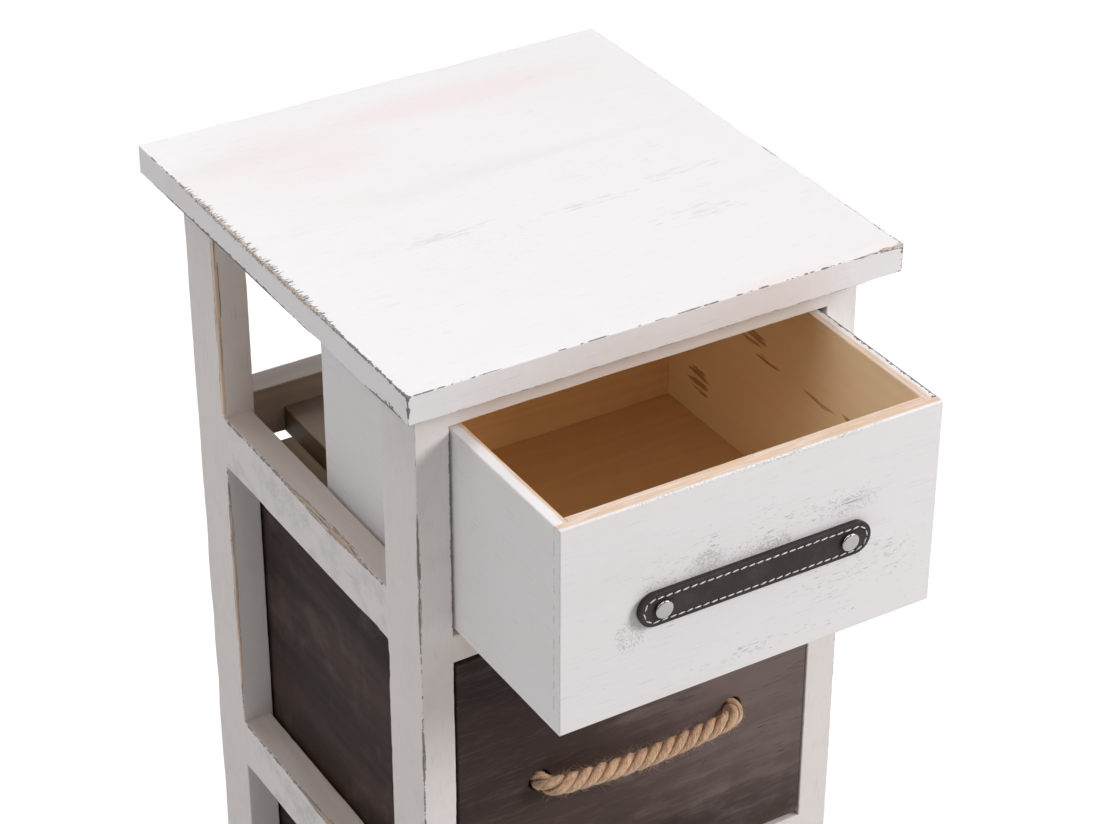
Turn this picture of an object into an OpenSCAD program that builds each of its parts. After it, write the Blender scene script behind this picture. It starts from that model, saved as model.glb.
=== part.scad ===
// Narrow nightstand with three drawers in an open wooden frame.
// X runs left to right, the front faces -Y, Z is up and the feet stand on Z = 0.
// The upper drawer stands pulled out, as it is shown; the other two are closed.

/* [Top board] */
// Width of the top board
top_w = 280; // [240:1:340]
// Depth of the top board
top_d = 293; // [280:1:340]
// Thickness of the top board
top_t = 16; // [12:0.5:25]
// How far the board stands out over the front of the frame
front_overhang = 18.5; // [5:0.5:30]

/* [Frame] */
// Width of the frame over its posts
frame_w = 254; // [220:1:320]
// Depth of the frame over its posts
frame_d = 251.5; // [230:0.5:300]
// Width of a post, seen from the front
post_w = 18.5; // [16:0.5:26]
// Depth of a post, seen from the side
post_d = 34.5; // [30:0.5:45]
// Height of the posts' ends below the lowest rails
foot_h = 35; // [15:1:80]
// Height of the front rails between the drawers
rail_h = 16; // [14:0.5:24]
// Height of the front and rear rails under the top board
top_rail_h = 20; // [18:0.5:30]
// Thickness of the side rails
side_rail_t = 17; // [14:0.5:18]
// Height of the side rails and of the rear rails beside them
side_rail_h = 31; // [28:0.5:40]
// Thickness of the rear rails
rear_rail_t = 18; // [14:0.5:24]
// Chamfer that eases the edges of the frame's timbers
frame_ease = 0.6; // [0.3:0.1:1.5]

/* [Openings] */
// Height of the upper drawer's opening
shallow_open_h = 122; // [90:1:160]
// Height of the two deep drawers' openings
deep_open_h = 189.5; // [150:0.5:230]

/* [Runners] */
// Width of the strips that the drawers slide on
runner_w = 15; // [12:0.5:20]
// Height of the strips that the drawers slide on
runner_h = 15.5; // [12:0.5:15.5]
// Free length between a runner's rear end and the rear post
runner_rear_gap = 17.5; // [5:0.5:40]

/* [Dividers] */
// Width of the boards that tie the front and rear rails under the drawers
divider_w = 166.5; // [80:0.5:180]
// Distance between the two dowels of a divider's end
divider_dowel_spacing = 110; // [50:1:140]

/* [Drawers] */
// Gap between a drawer and the post at each side
drawer_side_gap = 1.3; // [0.8:0.1:2.5]
// Gap between a drawer's upper edge and the rail above it
drawer_top_gap = 2.5; // [1.5:0.1:5]
// Gap between a drawer's lower edge and the front rail below it
drawer_rail_gap = 3.3; // [1.5:0.1:5]
// Running gap between a drawer's lower edge and its runners
drawer_run_gap = 0.3; // [0.2:0.1:0.5]
// Gap between a closed drawer and the rear rail that stops it
drawer_stop_gap = 0.5; // [0.3:0.1:2]
// Thickness of a drawer's front board
front_t = 9; // [8:0.5:14]
// Thickness of the lip that the front board keeps over the ends of the sides
front_lip = 5; // [3:0.5:6]
// Thickness of a drawer's side boards
side_t = 7.5; // [6:0.5:10]
// Thickness of a drawer's back board
back_t = 7.5; // [6:0.5:10]
// How far the back board's upper edge lies below the sides'
back_drop = 6; // [0:0.5:20]
// Thickness of a drawer's bottom panel
bottom_t = 3; // [2.5:0.5:5]
// Width of the rebate that holds the bottom panel
rebate_w = 3.5; // [2.5:0.1:4]
// Chamfer that eases the edges of the drawers' boards
drawer_ease = 0.5; // [0.2:0.1:1]
// How far the upper drawer is pulled out
upper_out = 98; // [0:1:140]

/* [Strap pull] */
// Length of the leather strap on the upper drawer
strap_l = 132; // [90:1:150]
// Height of the leather strap
strap_h = 18.5; // [14:0.5:26]
// Thickness of each of the strap's two layers
layer_t = 1.7; // [1:0.1:3]
// How far the backing layer stands back from the strap's outline
backing_inset = 0.4; // [0:0.1:1.5]
// Distance between the two studs
stud_spacing = 106; // [70:1:118]
// How far the strap sits below the middle of the drawer front
strap_drop = 2; // [0:0.5:10]
// Diameter of a stud's domed head
stud_d = 9.7; // [7:0.1:12]
// Height of a stud's domed head
stud_h = 2; // [1.5:0.1:3]
// Diameter of a stud's shank
stud_shank_d = 4; // [3:0.1:5]
// Diameter of the screw head on the inside of the front
stud_screw_d = 8.5; // [7:0.1:12]
// Height of the screw head on the inside of the front
stud_screw_h = 1.8; // [1:0.1:3]

/* [Rope pulls] */
// Diameter of the jute rope
rope_d = 10; // [8:0.5:10]
// Diameter of the holes that the rope passes through
rope_hole_d = 13.2; // [13:0.1:16]
// Distance between the two holes
rope_spacing = 119; // [100:1:140]
// Diameter of the knots behind the front board
knot_d = 22; // [18:0.5:28]
// Length of the knots behind the front board
knot_l = 17; // [12:0.5:24]

/* [Joinery] */
// Diameter of the dowels
dowel_d = 6; // [5:0.5:8]
// Length of a dowel in its rail
dowel_in_rail = 14; // [10:0.5:18]
// Length of a dowel in its post
dowel_in_post = 10; // [8:0.5:12]
// Distance from the frame's front to the first dowel of a front rail's end
front_dowel_inset = 8; // [6:0.5:9]
// Distance between the two dowels of a front rail's end
front_dowel_pitch = 10; // [9:0.5:11]
// Distance between the two dowels of a side or rear rail's end
dowel_pitch = 15; // [12:0.5:17]
// Diameter of the screws' shanks
screw_d = 3.5; // [3:0.1:4.5]
// Diameter of the screws' heads
screw_head_d = 7; // [6:0.1:8]
// Distance from a runner's end to its screw
runner_screw_inset = 32; // [15:1:60]
// Distance between the two screws of a top rail
top_screw_spacing = 140; // [60:1:160]
// Depth that a screw reaches into the piece behind
screw_bite = 10; // [6:0.5:12]

/* [Hidden] */
$fn = 48;

// Colours as they show
white_paint = [0.93, 0.92, 0.92];
bare_wood = [0.85, 0.68, 0.48];
brown_stain = [0.30, 0.25, 0.24];
leather_brown = [0.24, 0.20, 0.21];
nickel = [0.78, 0.76, 0.73];
zinc = [0.62, 0.62, 0.60];
jute = [0.67, 0.53, 0.39];

// The levels, from the lowest drawer up
LOWER = 0;
MIDDLE = 1;
UPPER = 2;
TOP = 3;
// The two sides of the frame
LEFT = -1;
RIGHT = 1;

play = 0.1;
end_play = 0.5;
seat = 0.2;
post_front = [0, post_d];
open_w = frame_w - 2 * post_w;
drawer_w = open_w - 2 * drawer_side_gap;
drawer_d = frame_d - rear_rail_t - drawer_stop_gap;
strap_t = 2 * layer_t;
rear_overhang = top_d - frame_d - front_overhang;
post_h = opening_floor(UPPER) + shallow_open_h + top_rail_h;
// The front plane of the frame, with the origin under the middle of the whole piece
frame_y = -(frame_d + rear_overhang - upper_out - strap_t - stud_h) / 2;

// Height of the floor of an opening, which is the top of the rail under it
function opening_floor(level) = foot_h + rail_h + level * (deep_open_h + rail_h);
function opening_h(level) = level == UPPER ? shallow_open_h : deep_open_h;
function drawer_h(level) = opening_h(level) - drawer_top_gap - drawer_rail_gap;
function drawer_z(level) = opening_floor(level) + drawer_rail_gap;
function runner_z(level) = drawer_z(level) - drawer_run_gap - runner_h;
function rail_z(level) = level == TOP ? post_h - top_rail_h : opening_floor(level) - rail_h;
function front_rail_h(level) = level == TOP ? top_rail_h : rail_h;
function rear_rail_h(level) = level == TOP ? top_rail_h : side_rail_h;
function post_x(side) = side == LEFT ? -frame_w / 2 : frame_w / 2 - post_w;
// Heights of the dowels in the end of a rear or side rail
function tall_dowels(level) = level == TOP
    ? [rail_z(TOP) + top_rail_h / 2]
    : [for (k = [-1, 1]) rail_z(level) + side_rail_h / 2 + k * dowel_pitch / 2];
// Distances of a front rail's dowels from the frame's front
front_dowels = [front_dowel_inset, front_dowel_inset + front_dowel_pitch];

// A rectangle with its four corners cut off at 45 degrees
module eased_rect(w, h, ease) {
    polygon([
        [ease, 0], [w - ease, 0], [w, ease], [w, h - ease],
        [w - ease, h], [ease, h], [0, h - ease], [0, ease],
    ]);
}

// Sticks that run along one axis from the origin, with their four long edges eased
module stick_z(w, d, h, ease) {
    linear_extrude(h) eased_rect(w, d, ease);
}

module stick_x(w, d, h, ease) {
    rotate([90, 0, 90]) linear_extrude(w) eased_rect(d, h, ease);
}

module stick_y(w, d, h, ease) {
    translate([0, d, 0]) rotate([90, 0, 0]) linear_extrude(d) eased_rect(w, h, ease);
}

// A board with all twelve edges eased
module eased_board(w, d, h, ease) {
    intersection() {
        stick_x(w, d, h, ease);
        stick_y(w, d, h, ease);
        stick_z(w, d, h, ease);
    }
}

// A round bar or hole along X, from x0 to x1
module bar_x(d, x0, x1) {
    translate([x0, 0, 0]) rotate([0, 90, 0]) cylinder(d = d, h = x1 - x0);
}

// A round bar or hole along Y, from y0 to y1
module bar_y(d, y0, y1) {
    translate([0, y0, 0]) rotate([-90, 0, 0]) cylinder(d = d, h = y1 - y0);
}

// Everything of the frame is placed from its front left corner on the floor
module in_frame() {
    translate([-frame_w / 2, frame_y, 0]) children();
}

// Mirrors what is drawn for the left side to the side that is asked for
module on_side(side) {
    mirror([side == RIGHT ? 1 : 0, 0, 0]) children();
}

// Dowels, or their holes when grow is more than 0, drawn for the left side
module front_dowel_set(level, grow = 0) {
    for (y = front_dowels)
        in_frame()
            translate([0, y, rail_z(level) + front_rail_h(level) / 2])
                bar_x(
                    dowel_d + 2 * play * sign(grow),
                    post_w - dowel_in_post - grow,
                    post_w + dowel_in_rail + grow
                );
}

module rear_dowel_set(level, grow = 0) {
    for (z = tall_dowels(level))
        in_frame()
            translate([0, frame_d - rear_rail_t / 2, z])
                bar_x(
                    dowel_d + 2 * play * sign(grow),
                    post_w - dowel_in_post - grow,
                    post_w + dowel_in_rail + grow
                );
}

module side_dowel_set(level, grow = 0) {
    for (z = tall_dowels(level))
        in_frame()
            translate([side_rail_t / 2, 0, z]) {
                bar_y(
                    dowel_d + 2 * play * sign(grow),
                    post_d - dowel_in_post - grow,
                    post_d + dowel_in_rail + grow
                );
                bar_y(
                    dowel_d + 2 * play * sign(grow),
                    frame_d - post_d - dowel_in_rail - grow,
                    frame_d - post_d + dowel_in_post + grow
                );
            }
}

// The dowels of a divider lie front to back, half in the divider and half in the rail
module divider_dowel_set(level, grow = 0) {
    in_frame()
        translate([(frame_w - divider_dowel_spacing) / 2, 0, rail_z(level) + rail_h / 2])
            for (y = [post_d, frame_d - rear_rail_t])
                bar_y(
                    dowel_d + 2 * play * sign(grow),
                    y - dowel_in_post - grow,
                    y + dowel_in_post + grow
                );
}

// The screws that hold a left runner to its side rail
module runner_screw_set(level, grow = 0) {
    length = frame_d - 2 * post_d - runner_rear_gap;
    for (y = [runner_screw_inset, length - runner_screw_inset])
        in_frame()
            translate([side_rail_t + runner_w, post_d + y, runner_z(level) + runner_h / 2])
                rotate([0, -90, 0]) {
                    cylinder(d = screw_d + 2 * grow, h = runner_w + screw_bite + sign(grow) * end_play);
                    cylinder(
                        d1 = screw_head_d + 2 * grow,
                        d2 = screw_d + 2 * grow,
                        h = (screw_head_d - screw_d) / 2
                    );
                }
}

// The screws that pull the top board down on a top rail, from the rail's underside
module top_screw_set(y, grow = 0) {
    recess = 5;
    for (x = [-1, 1] * top_screw_spacing / 2)
        translate([x, frame_y + y, rail_z(TOP)]) {
            translate([0, 0, recess])
                cylinder(
                    d = screw_d + 2 * grow,
                    h = top_rail_h - recess + screw_bite + sign(grow) * end_play
                );
            translate([0, 0, grow > 0 ? -1 : recess - 2])
                cylinder(d = screw_head_d + (grow > 0 ? 1 : 0), h = grow > 0 ? recess + 1 : 2);
        }
}

module top_screws(grow = 0) {
    top_screw_set(post_d / 2, grow);
    top_screw_set(frame_d - rear_rail_t / 2, grow);
}

module top_board() {
    color(white_paint)
        difference() {
            translate([-top_w / 2, frame_y - front_overhang, post_h])
                eased_board(top_w, top_d, top_t, frame_ease);
            top_screws(play);
        }
}

module front_post(side) {
    color(white_paint)
        on_side(side)
            difference() {
                in_frame() eased_board(post_w, post_d, post_h, frame_ease);
                for (level = [LOWER:TOP])
                    front_dowel_set(level, end_play);
                for (level = [LOWER:UPPER])
                    side_dowel_set(level, end_play);
            }
}

module rear_post(side) {
    color(white_paint)
        on_side(side)
            difference() {
                in_frame()
                    translate([0, frame_d - post_d, 0])
                        eased_board(post_w, post_d, post_h, frame_ease);
                for (level = [LOWER:TOP])
                    rear_dowel_set(level, end_play);
                for (level = [LOWER:UPPER])
                    side_dowel_set(level, end_play);
            }
}

module front_rail(level) {
    color(white_paint)
        difference() {
            in_frame()
                translate([post_w, 0, rail_z(level)])
                    stick_x(open_w, post_d, front_rail_h(level), frame_ease);
            for (side = [LEFT, RIGHT])
                on_side(side) {
                    front_dowel_set(level, end_play);
                    if (level < TOP) divider_dowel_set(level, end_play);
                }
            top_screws(play);
        }
}

module rear_rail(level) {
    color(white_paint)
        difference() {
            in_frame()
                translate([post_w, frame_d - rear_rail_t, rail_z(level)])
                    stick_x(open_w, rear_rail_t, rear_rail_h(level), frame_ease);
            for (side = [LEFT, RIGHT])
                on_side(side) {
                    rear_dowel_set(level, end_play);
                    if (level < TOP) divider_dowel_set(level, end_play);
                }
            top_screws(play);
        }
}

// A flat board under a drawer, flush with the front rail and between both rails
module divider(level) {
    color(white_paint)
        difference() {
            in_frame()
                translate([(frame_w - divider_w) / 2, post_d, rail_z(level)])
                    stick_y(divider_w, frame_d - post_d - rear_rail_t, rail_h, frame_ease);
            for (side = [LEFT, RIGHT])
                on_side(side) divider_dowel_set(level, end_play);
        }
}

module side_rail(side, level) {
    color(white_paint)
        on_side(side)
            difference() {
                in_frame()
                    translate([0, post_d, rail_z(level)])
                        stick_y(side_rail_t, frame_d - 2 * post_d, side_rail_h, frame_ease);
                side_dowel_set(level, end_play);
                runner_screw_set(level, play);
            }
}

module runner(side, level) {
    color(bare_wood)
        on_side(side)
            difference() {
                in_frame()
                    translate([side_rail_t, post_d, runner_z(level)])
                        stick_y(
                            runner_w, frame_d - 2 * post_d - runner_rear_gap, runner_h, drawer_ease
                        );
                runner_screw_set(level, play);
            }
}

module front_rail_dowels() {
    color(bare_wood)
        for (side = [LEFT, RIGHT], level = [LOWER:TOP])
            on_side(side) front_dowel_set(level);
}

module rear_rail_dowels() {
    color(bare_wood)
        for (side = [LEFT, RIGHT], level = [LOWER:TOP])
            on_side(side) rear_dowel_set(level);
}

module side_rail_dowels() {
    color(bare_wood)
        for (side = [LEFT, RIGHT], level = [LOWER:UPPER])
            on_side(side) side_dowel_set(level);
}

module divider_dowels() {
    color(bare_wood)
        for (side = [LEFT, RIGHT], level = [LOWER:UPPER])
            on_side(side) divider_dowel_set(level);
}

module runner_screws() {
    color(zinc)
        for (side = [LEFT, RIGHT], level = [LOWER:UPPER])
            on_side(side) runner_screw_set(level);
}

module top_board_screws() {
    color(zinc) top_screws();
}

// Everything of a drawer is placed from the middle of its front face's lower edge
module in_drawer(level) {
    translate([0, frame_y - (level == UPPER ? upper_out : 0), drawer_z(level)]) children();
}

function wood_of(level) = level == UPPER ? white_paint : brown_stain;

// The front board, rebated behind for the ends of the sides and for the bottom panel
module drawer_front(level) {
    h = drawer_h(level);
    color(wood_of(level))
        in_drawer(level)
            difference() {
                translate([-drawer_w / 2, 0, 0])
                    eased_board(drawer_w, front_t, h, drawer_ease);
                for (side = [LEFT, RIGHT])
                    on_side(side)
                        translate([-drawer_w / 2 - 1, front_lip, -1])
                            cube([side_t + 1, front_t, h + 2]);
                translate([-drawer_w / 2, front_t - rebate_w, -1])
                    cube([drawer_w, front_t, bottom_t + 1]);
                if (level == UPPER)
                    stud_places(h) bar_y(stud_shank_d + 2 * play, -1, front_t + 1);
                else
                    rope_places(h) bar_y(rope_hole_d, -1, front_t + 1);
            }
}

// A side board, with the rebate for the bottom panel along its lower inner edge
module drawer_side(side, level) {
    h = drawer_h(level);
    length = drawer_d - front_lip;
    color(wood_of(level))
        in_drawer(level)
            on_side(side)
                translate([-drawer_w / 2, front_lip, 0])
                    difference() {
                        stick_y(side_t, length, h, drawer_ease);
                        translate([side_t - rebate_w, -1, -1])
                            cube([side_t, length + 2, bottom_t + 1]);
                    }
}

// The back board stands between the sides, flush with their ends and lower than they are
module drawer_back(level) {
    h = drawer_h(level) - back_drop;
    w = drawer_w - 2 * side_t;
    color(wood_of(level))
        in_drawer(level)
            translate([-w / 2, drawer_d - back_t, 0])
                difference() {
                    stick_x(w, back_t, h, drawer_ease);
                    translate([-1, -1, -1]) cube([w + 2, rebate_w + 1, bottom_t + 1]);
                }
}

// The bottom panel lies in the rebates, flush with the drawer's lower edges
module drawer_bottom(level) {
    w = drawer_w - 2 * (side_t - rebate_w + seat);
    y0 = front_t - rebate_w + seat;
    y1 = drawer_d - back_t + rebate_w - seat;
    color(bare_wood)
        in_drawer(level)
            translate([-w / 2, y0, 0]) cube([w, y1 - y0, bottom_t]);
}

// Puts its children at the middles of the two studs, or of the two rope holes
module stud_places(h) {
    for (side = [LEFT, RIGHT])
        on_side(side)
            translate([-stud_spacing / 2, 0, h / 2 - strap_drop]) children();
}

module rope_places(h) {
    for (side = [LEFT, RIGHT])
        on_side(side)
            translate([-rope_spacing / 2, 0, h / 2]) children();
}

// One layer of the strap: round ends and straight edges
module strap_layer(inset, y0) {
    r = strap_h / 2 - inset;
    reach = strap_l / 2 - strap_h / 2;
    difference() {
        translate([0, y0 + layer_t, drawer_h(UPPER) / 2 - strap_drop])
            rotate([90, 0, 0])
                linear_extrude(layer_t)
                    union() {
                        square([2 * reach, 2 * r], center = true);
                        for (x = [-reach, reach])
                            translate([x, 0]) circle(r);
                    }
        stud_places(drawer_h(UPPER)) bar_y(stud_shank_d + 2 * play, -strap_t - 1, 1);
    }
}

module pull_strap() {
    color(leather_brown) in_drawer(UPPER) strap_layer(0, -strap_t);
}

module pull_strap_backing() {
    color(leather_brown) in_drawer(UPPER) strap_layer(backing_inset, -layer_t);
}

// A stud: domed head on a hollow shank that passes through strap and front board
module stud() {
    shank = strap_t + front_t - seat;
    bore = 8;
    edge_h = 0.6;
    rise = stud_h - edge_h;
    dome_r = (stud_d * stud_d / 4 + rise * rise) / (2 * rise);
    dome_span = asin(stud_d / 2 / dome_r);
    dome = [
        for (k = [0:5])
            let(a = dome_span * (1 - k / 6))
            [dome_r * sin(a), stud_h - dome_r * (1 - cos(a))]
    ];
    rotate([90, 0, 0])
        rotate_extrude()
            polygon(concat(
                [
                    [0, bore - shank], [stud_shank_d / 4, bore - shank], [stud_shank_d / 4, -shank],
                    [stud_shank_d / 2, -shank], [stud_shank_d / 2, 0], [stud_d / 2, 0],
                ],
                dome,
                [[0, stud_h]]
            ));
}

module pull_studs() {
    color(nickel)
        in_drawer(UPPER)
            stud_places(drawer_h(UPPER))
                translate([0, -strap_t, 0]) stud();
}

// The screws that close the studs from inside the drawer
module pull_stud_screws() {
    bite = 5;
    color(zinc)
        in_drawer(UPPER)
            stud_places(drawer_h(UPPER)) {
                bar_y(stud_shank_d / 2 - 2 * play, front_t - bite, front_t + stud_screw_h / 2);
                bar_y(stud_screw_d, front_t, front_t + stud_screw_h);
            }
}

// Half of the rope's route: distance in from the hole, distance behind the front face
// and height over the hole. The other half mirrors it.
rope_half = [
    [0, 9.2, 0], [0, 5, 0], [0, 0, 0], [0.6, -3.1, -0.1], [2.3, -5.7, -0.3], [4.9, -7.4, -0.6],
    [8, -8, -1], [14, -8.2, -1.6], [22, -8.4, -2.3], [32, -8.5, -3], [45, -8.5, -3.8],
];

// The whole route, from the left knot to the right one, across the middle
function rope_route(h) = let(
    start = [-rope_spacing / 2, 0, h / 2],
    half = [for (p = rope_half) start + [p.x, p.y < front_t ? p.y : front_t + seat, p.z]],
    n = len(half)
) concat(
    half,
    [[0, half[n - 1].y, half[n - 1].z - 0.4]],
    [for (i = [n - 1:-1:0]) [-half[i].x, half[i].y, half[i].z]]
);

function unit(v) = v / norm(v);

// Direction of the route at point i, square to the knots at both ends
function heading(route, i) =
    i == 0 ? [0, -1, 0]
    : i == len(route) - 1 ? [0, 1, 0]
    : unit(unit(route[i + 1] - route[i]) + unit(route[i] - route[i - 1]));

// A round tube swept along the route: one ring of corners at each point
module swept_rope(route, d, sides = 12) {
    rings = len(route);
    corners = [
        for (i = [0:rings - 1])
            let(
                ahead = heading(route, i),
                across = unit(cross(ahead, [0, 0, 1])),
                over = cross(across, ahead)
            )
            for (k = [0:sides - 1])
                let(a = 360 * k / sides)
                route[i] + d / 2 * (cos(a) * across + sin(a) * over)
    ];
    walls = [
        for (i = [0:rings - 2], k = [0:sides - 1])
            let(j = (k + 1) % sides)
            each [
                [i * sides + k, i * sides + j, (i + 1) * sides + j],
                [i * sides + k, (i + 1) * sides + j, (i + 1) * sides + k],
            ]
    ];
    first_end = [[for (k = [sides - 1:-1:0]) k]];
    last_end = [[for (k = [0:sides - 1]) (rings - 1) * sides + k]];
    polyhedron(corners, concat(walls, first_end, last_end), convexity = 6);
}

module rope_pull(level) {
    color(jute)
        in_drawer(level) swept_rope(rope_route(drawer_h(level)), rope_d);
}

// The stopper knots behind the front: a bulb that lies against the board
module rope_knots(level) {
    face_d = rope_hole_d + 4;
    tip_d = rope_d + 3;
    color(jute)
        in_drawer(level)
            rope_places(drawer_h(level))
                translate([0, front_t + seat, 0])
                    rotate([-90, 0, 0])
                        rotate_extrude()
                            polygon([
                                [0, 0], [face_d / 2, 0], [knot_d / 2, knot_l * 0.25],
                                [knot_d / 2, knot_l * 0.6], [tip_d / 2, knot_l], [0, knot_l],
                            ]);
}

top_board();
front_post(LEFT);  // front_left_post
front_post(RIGHT);  // front_right_post
rear_post(LEFT);  // rear_left_post
rear_post(RIGHT);  // rear_right_post
front_rail(TOP);  // front_top_rail
front_rail(UPPER);  // front_upper_rail
front_rail(MIDDLE);  // front_lower_rail
front_rail(LOWER);  // front_bottom_rail
rear_rail(TOP);  // rear_top_rail
rear_rail(UPPER);  // rear_upper_rail
rear_rail(MIDDLE);  // rear_lower_rail
rear_rail(LOWER);  // rear_bottom_rail
side_rail(LEFT, UPPER);  // left_upper_side_rail
side_rail(LEFT, MIDDLE);  // left_lower_side_rail
side_rail(LEFT, LOWER);  // left_bottom_side_rail
side_rail(RIGHT, UPPER);  // right_upper_side_rail
side_rail(RIGHT, MIDDLE);  // right_lower_side_rail
side_rail(RIGHT, LOWER);  // right_bottom_side_rail
divider(UPPER);  // upper_divider
divider(MIDDLE);  // lower_divider
divider(LOWER);  // bottom_divider
divider_dowels();
runner(LEFT, UPPER);  // upper_left_runner
runner(LEFT, MIDDLE);  // middle_left_runner
runner(LEFT, LOWER);  // lower_left_runner
runner(RIGHT, UPPER);  // upper_right_runner
runner(RIGHT, MIDDLE);  // middle_right_runner
runner(RIGHT, LOWER);  // lower_right_runner
front_rail_dowels();
rear_rail_dowels();
side_rail_dowels();
runner_screws();
top_board_screws();
drawer_front(UPPER);  // upper_drawer_front
drawer_side(LEFT, UPPER);  // upper_drawer_left_side
drawer_side(RIGHT, UPPER);  // upper_drawer_right_side
drawer_back(UPPER);  // upper_drawer_back
drawer_bottom(UPPER);  // upper_drawer_bottom
drawer_front(MIDDLE);  // middle_drawer_front
drawer_side(LEFT, MIDDLE);  // middle_drawer_left_side
drawer_side(RIGHT, MIDDLE);  // middle_drawer_right_side
drawer_back(MIDDLE);  // middle_drawer_back
drawer_bottom(MIDDLE);  // middle_drawer_bottom
drawer_front(LOWER);  // lower_drawer_front
drawer_side(LEFT, LOWER);  // lower_drawer_left_side
drawer_side(RIGHT, LOWER);  // lower_drawer_right_side
drawer_back(LOWER);  // lower_drawer_back
drawer_bottom(LOWER);  // lower_drawer_bottom
pull_strap();
pull_strap_backing();
pull_studs();
pull_stud_screws();
rope_pull(MIDDLE);  // middle_rope_pull
rope_knots(MIDDLE);  // middle_rope_knots
rope_pull(LOWER);  // lower_rope_pull
rope_knots(LOWER);  // lower_rope_knots
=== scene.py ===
"""Studio scene of a narrow white-washed nightstand with its upper drawer pulled out.

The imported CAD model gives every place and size. This script dresses its nodes with
procedural finishes, builds the pieces that need more shape than the solids have, such as
the worn timbers, the stitched strap and the laid ropes, and sets up light and camera.
"""

import logging
import math
import random
from collections.abc import Sequence
from dataclasses import dataclass
from enum import Enum
from functools import partialmethod
from itertools import count, pairwise, product

import bmesh
import bpy
from mathutils import Matrix, Vector, noise


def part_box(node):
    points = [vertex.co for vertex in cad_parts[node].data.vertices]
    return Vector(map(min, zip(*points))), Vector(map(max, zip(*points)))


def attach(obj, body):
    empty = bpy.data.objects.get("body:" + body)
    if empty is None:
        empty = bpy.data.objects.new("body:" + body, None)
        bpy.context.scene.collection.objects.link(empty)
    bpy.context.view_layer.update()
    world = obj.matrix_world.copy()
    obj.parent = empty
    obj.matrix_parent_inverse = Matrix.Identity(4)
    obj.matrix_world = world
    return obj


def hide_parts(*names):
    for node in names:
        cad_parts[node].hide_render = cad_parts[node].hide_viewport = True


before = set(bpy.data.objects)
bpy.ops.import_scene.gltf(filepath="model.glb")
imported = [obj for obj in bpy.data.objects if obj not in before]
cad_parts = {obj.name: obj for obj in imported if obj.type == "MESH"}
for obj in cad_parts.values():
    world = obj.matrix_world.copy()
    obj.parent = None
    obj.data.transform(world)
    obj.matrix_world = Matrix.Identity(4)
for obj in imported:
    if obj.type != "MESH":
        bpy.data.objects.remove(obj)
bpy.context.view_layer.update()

log = logging.getLogger("nightstand")

Triple = tuple[float, float, float]
Colour = Triple
Mesh = bmesh.types.BMesh
Node = bpy.types.Node
Socket = bpy.types.NodeSocket
Sockets = bpy.types.bpy_prop_collection
Value = float | Sequence[float] | Socket

MM = 0.001
TURN = 2 * math.pi
ORIGIN = (0.0, 0.0, 0.0)
# Points nearer to each other than this are one point.
MERGE = 1e-7
# Turns what is drawn flat, facing up, to face the front.
UPRIGHT = Matrix.Rotation(math.radians(90), 4, "X")


class Grain(Enum):
    """The direction in which a board's grain runs."""

    X = (1, 0, 0)
    Y = (0, 1, 0)
    Z = (0, 0, 1)

    def stretch(self, along: float, across: float) -> Triple:
        """Scale of a pattern that is drawn out along the grain, in repeats in a metre."""
        return tuple(along if part else across for part in self.value)


class Face(Enum):
    """The side of a board that carries the paint or the stain: its axis and direction."""

    LEFT = (0, -1)
    RIGHT = (0, 1)
    FRONT = (1, -1)
    BACK = (1, 1)
    TOP = (2, 1)


@dataclass(frozen=True)
class Spot:
    """A soft-edged patch on the surface, where wear, scuffs, or painted light and shade gather.

    Attributes:
        centre: Middle of the patch, in metres.
        radii: Half of its size on X, Y and Z, in metres.
    """

    centre: Triple
    radii: Triple


Spots = tuple[Spot, ...]


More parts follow.
